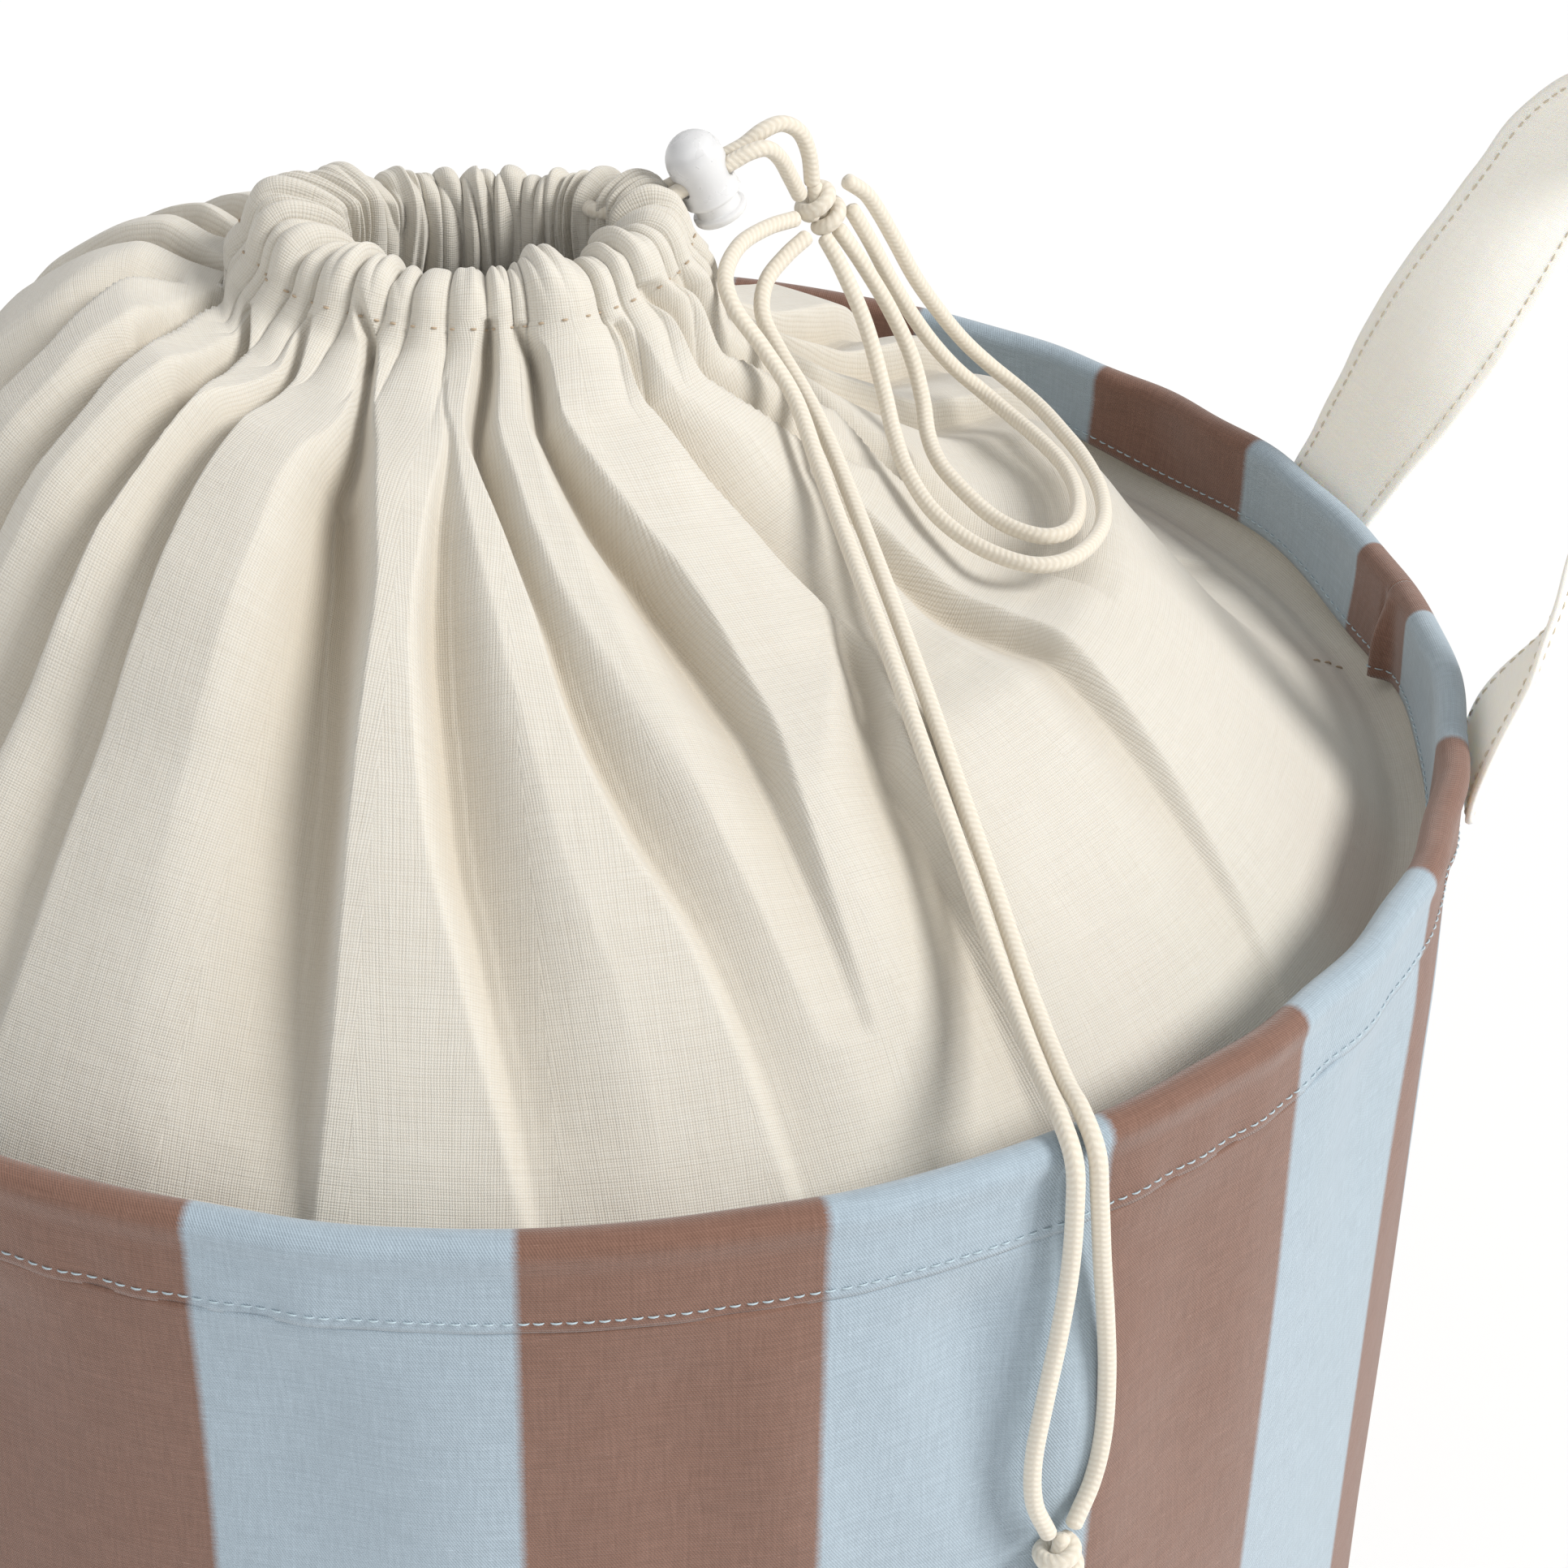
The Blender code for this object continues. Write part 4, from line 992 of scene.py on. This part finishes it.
def build_hems():
    line = hem_line()
    for side, first in SIDES:
        azimuth = np.linspace(first, first + 180, 900)
        outer = hem_points(azimuth, line, 0.0)
        inner = hem_points(azimuth, line, CANVAS)
        made = cloth_panel(f"hem_{side}_cloth", outer, inner, azimuth, distances(line) + 478)
        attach(made, "rim")
        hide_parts(f"hem_{side}")
        for where, row, sign in (("outside", 2, 1.0), ("inside", len(line) - 3, -1.0)):
            normal = ring_point(azimuth, np.full(len(azimuth), sign), 0.0)
            sewn = stitches(f"hem_{side}_stitches_{where}", outer[row], normal, 3.1, 2.2, 0.2, thread_blue)
            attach(sewn, "rim")


build_hems()
build_walls()


# --- handles

HANDLE_AZIMUTH = 94.0
HANDLE_HALF_SPREAD = 60.0
HANDLE_LEG = 105.0
HANDLE_ARCH = 40.0
HANDLE_TILT = 28.0
STRAP_WIDTH = 35.0
STRAP_THICKNESS = 1.8
LEAN_RADIUS = 214.0
LEAN_HEIGHT = 490.0
STRAP_END_AZIMUTH = 15.66
STRAP_ON_HEM_RADIUS = 222.4
STRAP_END_BOTTOM, STRAP_END_TOP = 478.8, 484
STRAP_EDGE_ROUND = 1.0
STRAP_SEAM_INSET = 3.6


def turned_by(angle, points):
    """Points or directions turned about Z."""
    turn = math.radians(angle)
    c, s = math.cos(turn), math.sin(turn)
    return np.asarray(points) @ np.array([[c, -s, 0], [s, c, 0], [0, 0, 1]]).T


def strap_frames():
    """Centre, across and face directions along a strap, from one sewn end to the other."""
    frames = []
    tilt = math.radians(HANDLE_TILT)
    lean = np.array([[math.cos(tilt), 0, math.sin(tilt)], [0, 1, 0], [-math.sin(tilt), 0, math.cos(tilt)]])
    start = np.array([LEAN_RADIUS, 0, LEAN_HEIGHT])

    def sewn(side, heights, sign):
        for z in heights:
            out = turned_by(90 + side * STRAP_END_AZIMUTH, np.array([0, -1.0, 0]))
            centre = out * STRAP_ON_HEM_RADIUS + np.array([0, 0, z])
            frames.append((centre, np.array([-out[1], out[0], 0]) * sign, out))

    def loop(y, z, outwards):
        turn = math.radians(STRAP_END_AZIMUTH + (90 - STRAP_END_AZIMUTH) * float(smooth(z / HANDLE_LEG)))
        face = np.array([math.cos(turn), 0, 0]) + outwards * math.sin(turn)
        along = np.array([0, -outwards[2], outwards[1]])
        frames.append((start + lean @ np.array([0, y, z]), lean @ np.cross(along, face), lean @ face))

    sewn(1, np.linspace(STRAP_END_BOTTOM, STRAP_END_TOP, 8), 1)
    for z in np.linspace(1, HANDLE_LEG, 60, endpoint=False):
        loop(HANDLE_HALF_SPREAD, z, np.array([0, 1.0, 0]))
    for step in range(101):
        angle = math.pi * step / 100
        outwards = unit(np.array([0, HANDLE_ARCH * math.cos(angle), HANDLE_HALF_SPREAD * math.sin(angle)]))
        loop(HANDLE_HALF_SPREAD * math.cos(angle), HANDLE_LEG + HANDLE_ARCH * math.sin(angle), outwards)
    for z in np.linspace(HANDLE_LEG, 1, 60)[1:]:
        loop(-HANDLE_HALF_SPREAD, z, np.array([0, -1.0, 0]))
    sewn(-1, np.linspace(STRAP_END_TOP, STRAP_END_BOTTOM, 8), -1)
    return frames


def even_frames(frames, spacing):
    """The frames at even distances, smoothed where the loop meets its sewn ends."""
    centre, across, face = (np.array(values) for values in zip(*frames))
    for _ in range(10):
        for values in (centre, across, face):
            values[1:-1] = 0.25 * values[:-2] + 0.5 * values[1:-1] + 0.25 * values[2:]
    along = distances(centre)
    even = np.arange(0, along[-1], spacing)
    centre, across, face = (sample(values, along, even) for values in (centre, across, face))
    face = unit(face)
    across = unit(across - face * np.sum(across * face, axis=1, keepdims=True))
    return centre, across, face, even


def make_strap(side_name, turn, seed):
    """One strap in one piece, sewn ends and loop, with a row of stitches along each edge."""
    centre, across, face, even = even_frames(strap_frames(), 1.6)
    centre, across, face = (turned_by(turn, values) for values in (centre, across, face))
    places = np.concatenate([
        [-1], np.linspace(-0.985, -0.86, 6), np.linspace(-0.83, 0.83, 17), np.linspace(0.86, 0.985, 6), [1],
    ])
    half = STRAP_WIDTH / 2
    edge = np.abs(places) * half
    rounding = np.clip((edge - half + STRAP_EDGE_ROUND) / STRAP_EDGE_ROUND, 0, 1)
    thick = STRAP_THICKNESS / 2 * np.sqrt(np.clip(1 - rounding ** 2, 0.02, 1))
    thick = thick - 0.32 * np.exp(-((edge - (half - STRAP_SEAM_INSET)) / 0.7) ** 2)
    pucker = 0.22 * np.sin(even / 3.1 + waves(even / 3, seed, 5, 20, 6))[:, None]
    pucker = pucker * np.exp(-((edge - half) / 3.5) ** 2)[None]
    sag = 0.55 * waves(even * 0.5, seed, 3, 9, 5)[:, None] * (places[None] ** 2 - 0.3)
    free = ramp(even, 20, 60) * ramp(even, even[-1] - 20, even[-1] - 60)
    lift = pucker + sag * free[:, None]
    middle = centre[:, None] + across[:, None] * (places * half)[None, :, None]
    upper = middle + face[:, None] * (thick[None] + lift)[:, :, None]
    lower = middle + face[:, None] * (-thick[None] + lift)[:, :, None]
    ring = np.concatenate([upper, lower[:, ::-1]], 1)
    count, around = ring.shape[:2]
    faces, fr, fc = grid_faces(count, around, round_columns=True)
    position = np.concatenate([places * half, (places * half)[::-1]])
    thread = np.stack([position[fc % around], even[fr], np.zeros(fr.shape)], 2)
    made = add_mesh(f"strap_{side_name}", ring.reshape(-1, 3), faces, strap_cotton, thread)
    close_mesh(made, [range(around), range((count - 1) * around, count * around)])
    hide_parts(f"handle_{side_name}", f"handle_{side_name}_front_end", f"handle_{side_name}_back_end")
    pieces = [made]
    for number, sign in ((1, -1), (2, 1)):
        column = int(np.argmin(np.abs(places * half - sign * (half - STRAP_SEAM_INSET))))
        for label, surface, outwards in (("out", upper, face), ("in", lower, -face)):
            name = f"strap_{side_name}_stitches_{label}_{number}"
            line = surface[:, column]
            pieces.append(stitches(name, line, outwards, 3.2, 2.3, 0.24, thread_cream, lift=0.05))
    for piece in pieces:
        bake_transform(piece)


make_strap("right", HANDLE_AZIMUTH - 90, 7)
make_strap("left", HANDLE_AZIMUTH + 90, 9)


# --- cord

LEAD_UPPER = (
    (17, 18.1, 602), (20.5, 16.6, 602.2), (24.5, 16.4, 603.4), (29.5, 17.1, 605.7), (34.7, 17.8, 608.1),
    (47.1, 20.4, 614), (51.1, 21.3, 615.9), (55.4, 22.5, 618.8), (60, 24.4, 619.7), (64.2, 26.2, 616.8),
    (66.6, 27.6, 611), (67.6, 28.6, 603.8),
)
LEAD_LOWER = (
    (21.8, 6.2, 602), (23.1, 8.7, 602.1), (25.6, 10.7, 602.9), (30, 12.1, 605.3), (35.5, 13.5, 608.1),
    (48, 16.2, 614), (52, 17, 615.9), (56, 18.6, 616.1), (59.3, 21.3, 612.6), (62, 24.2, 607),
    (64.6, 27, 601.2),
)
LOOP_OUTER = (
    (70.9, 26.5, 590.4), (74.6, 22.2, 584.2), (79.5, 15, 573.5), (82.8, 5, 562), (84, -6, 556.5),
    (85.8, -18, 552.5), (90, -29, 548.5), (96.5, -37.5, 545.5), (104, -44, 544), (111.5, -47.5, 543.5),
    (119, -45.5, 543.5), (125.5, -38, 543.5), (130.3, -26, 543), (132, -11, 543), (130.8, 5, 543),
    (128, 19, 543), (124.8, 31, 543.3), (120.3, 39.5, 544.8), (113.8, 43, 549.3), (107.3, 42, 556),
    (101, 39.8, 564.3), (94, 37, 575), (88.3, 35.3, 585.8), (84.4, 34.3, 593), (80.8, 33.4, 598.5),
    (76.3, 32.1, 602.2),
)
LOOP_INNER = (
    (74.3, 30, 591.2), (79.7, 28.2, 583.5), (86, 25, 573.5), (91, 20.5, 563.5), (93.2, 13, 555.5),
    (93.4, 3, 551), (95, -7, 548.5), (99.5, -16.5, 546), (105, -25, 543.8), (110.6, -31, 543.2),
    (116.6, -33.4, 543), (122.2, -29.8, 543), (125.4, -20.5, 543), (126.4, -9, 543), (125.2, 3, 543),
    (121.5, 16, 543), (116.5, 28, 543.5), (111, 35.5, 546), (104, 36.8, 552), (96.5, 35.5, 561.5),
    (88.5, 33.8, 574.5), (82.3, 32.8, 586.5), (77.4, 32, 595.2),
)
TAIL_LEFT = (
    (63.4, 24.9, 596.2), (56.5, 19.5, 596.5), (49.5, 12, 595.5), (45.6, 2.5, 592.5), (47, -5.5, 588),
    (53, -11, 580.8), (59.5, -20, 572.4), (63.5, -38, 564), (68, -64, 556.2), (72.8, -90, 548),
    (77.5, -115, 538.4), (82.5, -134, 527.4), (88, -157, 514.5), (92.5, -181, 506.5), (95.2, -194.5, 503.6),
    (97.2, -201.2, 498), (97.8, -202.6, 488), (97.9, -202.4, 472), (96.7, -202.8, 456), (94.8, -203.6, 440),
    (93.2, -204.3, 424), (94, -204.2, 412), (97.6, -203.4, 402.4),
)
TAIL_RIGHT = (
    (66, 24, 591.9), (61, 20, 589.2), (56, 14, 585.6), (54.5, 6, 581.2), (57.5, -2, 576),
    (62.6, -12, 569.8), (67, -27, 564), (71.3, -50, 557.4), (75.6, -75, 550.4), (80, -100, 542.4),
    (84.5, -122, 532.4), (89.5, -141, 520.6), (94, -164, 510.2), (97.6, -184, 505), (99.7, -192.6, 503.6),
    (101.9, -199.3, 498.4), (103, -200.4, 488), (104.8, -199, 472), (106.8, -197.9, 456),
    (108.4, -197, 440), (108.8, -197, 424), (107.2, -198.2, 412), (103.4, -201, 402.4),
)
KNOT_CENTRE = np.array([69.6, 29.6, 597.0])
END_KNOT_CENTRE = np.array([100.2, -203.0, 395.0])


def helix(centre, axis, side, up, low, high, turn_from, turn_to, radius):
    """Points round the axis, drawn in towards it at both ends."""
    points = []
    for t in np.linspace(0, 1, 15):
        turn = math.radians(turn_from + (turn_to - turn_from) * t)
        out = radius * (1 - 0.35 * (2 * abs(t - 0.5)) ** 3)
        out = (side * math.cos(turn) + up * math.sin(turn)) * out
        points.append(centre + axis * (low + (high - low) * t) + out)
    return points


# The strand through a knot's middle: millimetres along it, to its side and up.
KNOT_CORE = ((-5.6, 1.0, -0.6), (-2.5, 0.4, 0.4), (0, -0.6, 0.2), (2.5, 0.2, -0.4), (5.6, 0.8, 0.6))


def make_knot(name, centre, axis, size):
    """An overhand knot of the doubled cord: two strands wrapped side by side round a third."""
    axis = unit(np.array(axis, float))
    side = unit(np.cross(axis, [0.2, 1.0, 0.1]))
    up = np.cross(axis, side)
    axis, side, up = axis * size, side * size, up * size
    routes = (
        helix(centre, axis, side, up, -3.9, 0.2, -60, 330, 3.9),
        helix(centre, axis, side, up, -0.2, 4.0, 120, 500, 3.9),
        [centre + axis * a + side * b + up * c for a, b, c in KNOT_CORE],
    )
    parts = [
        tube(f"{name}_strand", smooth_route(route, 0.5), CORD / 2 * 0.98, cord_cotton) for route in routes
    ]
    with bpy.context.temp_override(
        active_object=parts[0], selected_editable_objects=parts, selected_objects=parts,
    ):
        bpy.ops.object.join()
    parts[0].name = parts[0].data.name = name
    return parts[0]


knot = make_knot("cord_knot_wraps", KNOT_CENTRE, (0.35, 0.15, -0.75), 0.98)
end_knot = make_knot("cord_end_knot_wraps", END_KNOT_CENTRE, (0.1, 0.05, -1.0), 0.92)
cut_ends = []
for label, sign in (("left", -1), ("right", 1)):
    top = END_KNOT_CENTRE + np.array([sign * 2.2, sign * 0.9, -5.4])
    bottom = top + np.array([sign * 1.8, sign * 0.8, -19.0])
    line = smooth_route([top, top * 0.5 + bottom * 0.5 + np.array([sign * 0.5, 0, 0]), bottom], 0.6)
    frayed = CORD / 2 * (1 + 0.18 * ramp(np.linspace(0, 1, len(line)), 0.75, 1.0))
    cut_ends.append(tube(f"cord_cut_end_{label}_braid", line, frayed, cord_cotton))

for piece, node in (
    (knot, "cord_knot"), (end_knot, "cord_end_knot"),
    (cut_ends[0], "cord_cut_end_left"), (cut_ends[1], "cord_cut_end_right"),
):
    stand_in(piece, "rim", "cord_cotton", node)


def make_cord(node, route):
    """One declared stretch of the drawcord on its CAD route."""
    path = smooth_route(route, 0.8)
    made = tube(f"{node}_braid", path, CORD / 2, cord_cotton)
    stand_in(made, "rim", "cord_cotton", node)


# --- cord lock

LOCK_CENTRE = Vector((0.0413, 0.017, 0.611))
LOCK_PLACE = (
    Matrix.Translation(LOCK_CENTRE)
    @ Matrix.Rotation(math.radians(12), 4, "Z")
    @ Matrix.Rotation(math.radians(-25), 4, "Y")
)
CUTTER_REACH = 11.0
SLOT_CORNER = 1.6


def turned(profile, steps):
    """Points and faces of a profile of (radius, height) turned about Z, closed on the axis."""
    radius, height = np.array(profile, float).T[:, :, None]
    turn = 2 * math.pi * np.arange(steps)[None] / steps
    grid = np.stack([radius * np.sin(turn), -radius * np.cos(turn), height + 0 * turn], 2)
    return grid.reshape(-1, 3), grid_faces(len(profile), steps, round_columns=True)[0]


def slot_outline(width, low, high):
    """A slot with round corners in (y, z)."""
    corner = min((high - low) / 2, SLOT_CORNER)
    y, top, foot = width / 2 - corner, high - corner, low + corner
    points = []
    for cy, cz, start in ((y, top, 0), (-y, top, 90), (-y, foot, 180), (y, foot, 270)):
        for turn in np.radians(np.linspace(start, start + 90, 7)):
            points.append((cy + corner * math.cos(turn), cz + corner * math.sin(turn)))
    return points


def lock_part(name, profile, slot, body, node):
    """A turned plastic part with a slot cut across it, placed where the lock is."""
    made = add_mesh(name, *turned(profile, 72), lock_plastic)
    close_mesh(made, weld=True)
    outline = slot_outline(*slot)
    n = len(outline)
    ends = np.array([[(x, y, z) for y, z in outline] for x in (-CUTTER_REACH, CUTTER_REACH)])
    sides = grid_faces(2, n, round_columns=True)[0]
    cutter = add_mesh(f"{name}_cutter", ends.reshape(-1, 3), sides, lock_plastic)
    close_mesh(cutter, [range(n), range(n, 2 * n)])
    modifier = made.modifiers.new("hole", "BOOLEAN")
    modifier.operation = "DIFFERENCE"
    modifier.solver = "EXACT"
    modifier.object = cutter
    bpy.context.view_layer.update()
    cut = bpy.data.meshes.new_from_object(made.evaluated_get(bpy.context.evaluated_depsgraph_get()))
    made.modifiers.clear()
    made.data = cut
    bpy.data.objects.remove(cutter, do_unlink=True)
    made.data.shade_smooth()
    made.data.set_sharp_from_angle(angle=math.radians(38))
    made.data.transform(LOCK_PLACE)
    stand_in(made, body, "lock_plastic", node)
    return made


# The parts' sides in millimetres: radius and height.
DOME = [(6.8 * math.cos(a), 4.0 + 6.8 * math.sin(a)) for a in np.radians(np.linspace(90, 0, 19))]
BARREL_SIDE = (
    (0.0, 10.8), *DOME[1:], (6.8, 3.0), (6.72, -1.0), (6.74, -4.6), (6.95, -5.0), (6.98, -5.6), (6.75, -6.0),
    (5.75, -6.0), (5.6, -5.8), (5.6, 6.7), (5.4, 6.9), (3.2, 6.9), (3.2, 9.1), (3.0, 9.3), (0.0, 9.3),
)
PLUNGER_SIDE = (
    (0.0, 3.6), (4.9, 3.6), (5.25, 3.3), (5.25, -9.0), (5.5, -9.3), (6.1, -9.4), (6.4, -9.7), (6.4, -10.8),
    (6.1, -11.2), (0.0, -11.2),
)
barrel = lock_part("lock_barrel_moulded", BARREL_SIDE, (8.8, -2.25, 2.25), "cord_lock", "cord_lock_barrel")
lock_part("lock_plunger_moulded", PLUNGER_SIDE, (8.8, -5.25, 2.25), "lock_plunger", "cord_lock_plunger")

ring_azimuth = np.linspace(131, 440, 60)
out, level = on_crest(wrap(ring_azimuth))
ring = round_mouth(np.radians(ring_azimuth), out * 0.55 + 2.6, level - 6.5)
ring = [LEAD_UPPER[0], *ring[2:-2], LEAD_LOWER[0]]
casing_cord = tube("drawcord_in_casing_braid", smooth_route(ring, 1.5), CORD / 2, cord_cotton, sides=12)
stand_in(casing_cord, "rim", "cord_cotton", "drawcord_in_casing")

make_cord("cord_lead_upper", LEAD_UPPER)
make_cord("cord_lead_lower", LEAD_LOWER)
make_cord("cord_loop_outer", LOOP_OUTER)
make_cord("cord_loop_inner", LOOP_INNER)
make_cord("cord_tail_left", TAIL_LEFT)
make_cord("cord_tail_right", TAIL_RIGHT)


# --- finishes of the pieces kept from the CAD

for node, finish in (
    ("bag_base", canvas_plain), ("rim_hoop", wire_steel), ("hoop_ferrule", wire_steel),
    ("cord_lock_spring", wire_steel),
):
    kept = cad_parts[node].data.materials
    kept.clear()
    kept.append(finish)


# --- floor, light and camera

FLOOR_HALF = 8
FLOOR_DROP = 0.0005
WORLD_LIGHT = 0.56
KEY_FACING = (-0.75, 0.30, -0.59)
FILL_PLACE, FILL_TARGET = (-1.6, -2.0, 1.7), (0, 0, 0.4)
CAMERA_PLACE = (-0.016295, -0.718045, 0.915499)
CAMERA_HEADING, CAMERA_DIP, CAMERA_ROLL = -6.164, 32.361, 1.330
CAMERA_LENS = 79.92

floor_data = bpy.data.meshes.new("floor")
corners = [(x * FLOOR_HALF, y * FLOOR_HALF, 0) for x, y in ((-1, -1), (1, -1), (1, 1), (-1, 1))]
floor_data.from_pydata(corners, [], [(0, 1, 2, 3)])
floor = add_object("floor", floor_data)
floor_data.materials.append(Finish("floor_pale").done((0.93, 0.93, 0.93, 1), None, 0.9))
floor.location.z = -FLOOR_DROP

scene = bpy.context.scene
world = bpy.data.worlds.new("studio")
scene.world = world
world.use_nodes = True
background = world.node_tree.nodes["Background"].inputs
background[0].default_value = (1.0, 1.0, 1.0, 1)
background[1].default_value = WORLD_LIGHT


def add_light(name, kind, energy, colour, facing, **settings):
    """A light that shines along the direction facing."""
    data = bpy.data.lights.new(name, kind)
    data.energy, data.color = energy, colour
    for key, value in settings.items():
        setattr(data, key, value)
    made = add_object(name, data)
    made.rotation_euler = facing.to_track_quat("-Z", "Y").to_euler()
    return made


add_light("key", "SUN", 2.9, (1.0, 0.985, 0.96), Vector(KEY_FACING), angle=math.radians(24))
fill = add_light(
    "fill", "AREA", 9, (0.97, 0.985, 1.0), Vector(FILL_TARGET) - Vector(FILL_PLACE), shape="DISK", size=1.6,
)
fill.location = FILL_PLACE

camera_data = bpy.data.cameras.new("camera")
camera_data.lens = CAMERA_LENS
camera_data.sensor_width = 36
camera_data.clip_end = 50
camera = add_object("camera", camera_data)
camera.matrix_world = (
    Matrix.Translation(CAMERA_PLACE)
    @ Matrix.Rotation(math.radians(CAMERA_HEADING), 4, "Z")
    @ Matrix.Rotation(math.radians(90 - CAMERA_DIP), 4, "X")
    @ Matrix.Rotation(math.radians(CAMERA_ROLL), 4, "Z")
)
scene.camera = camera
scene.view_settings.view_transform = "Standard"
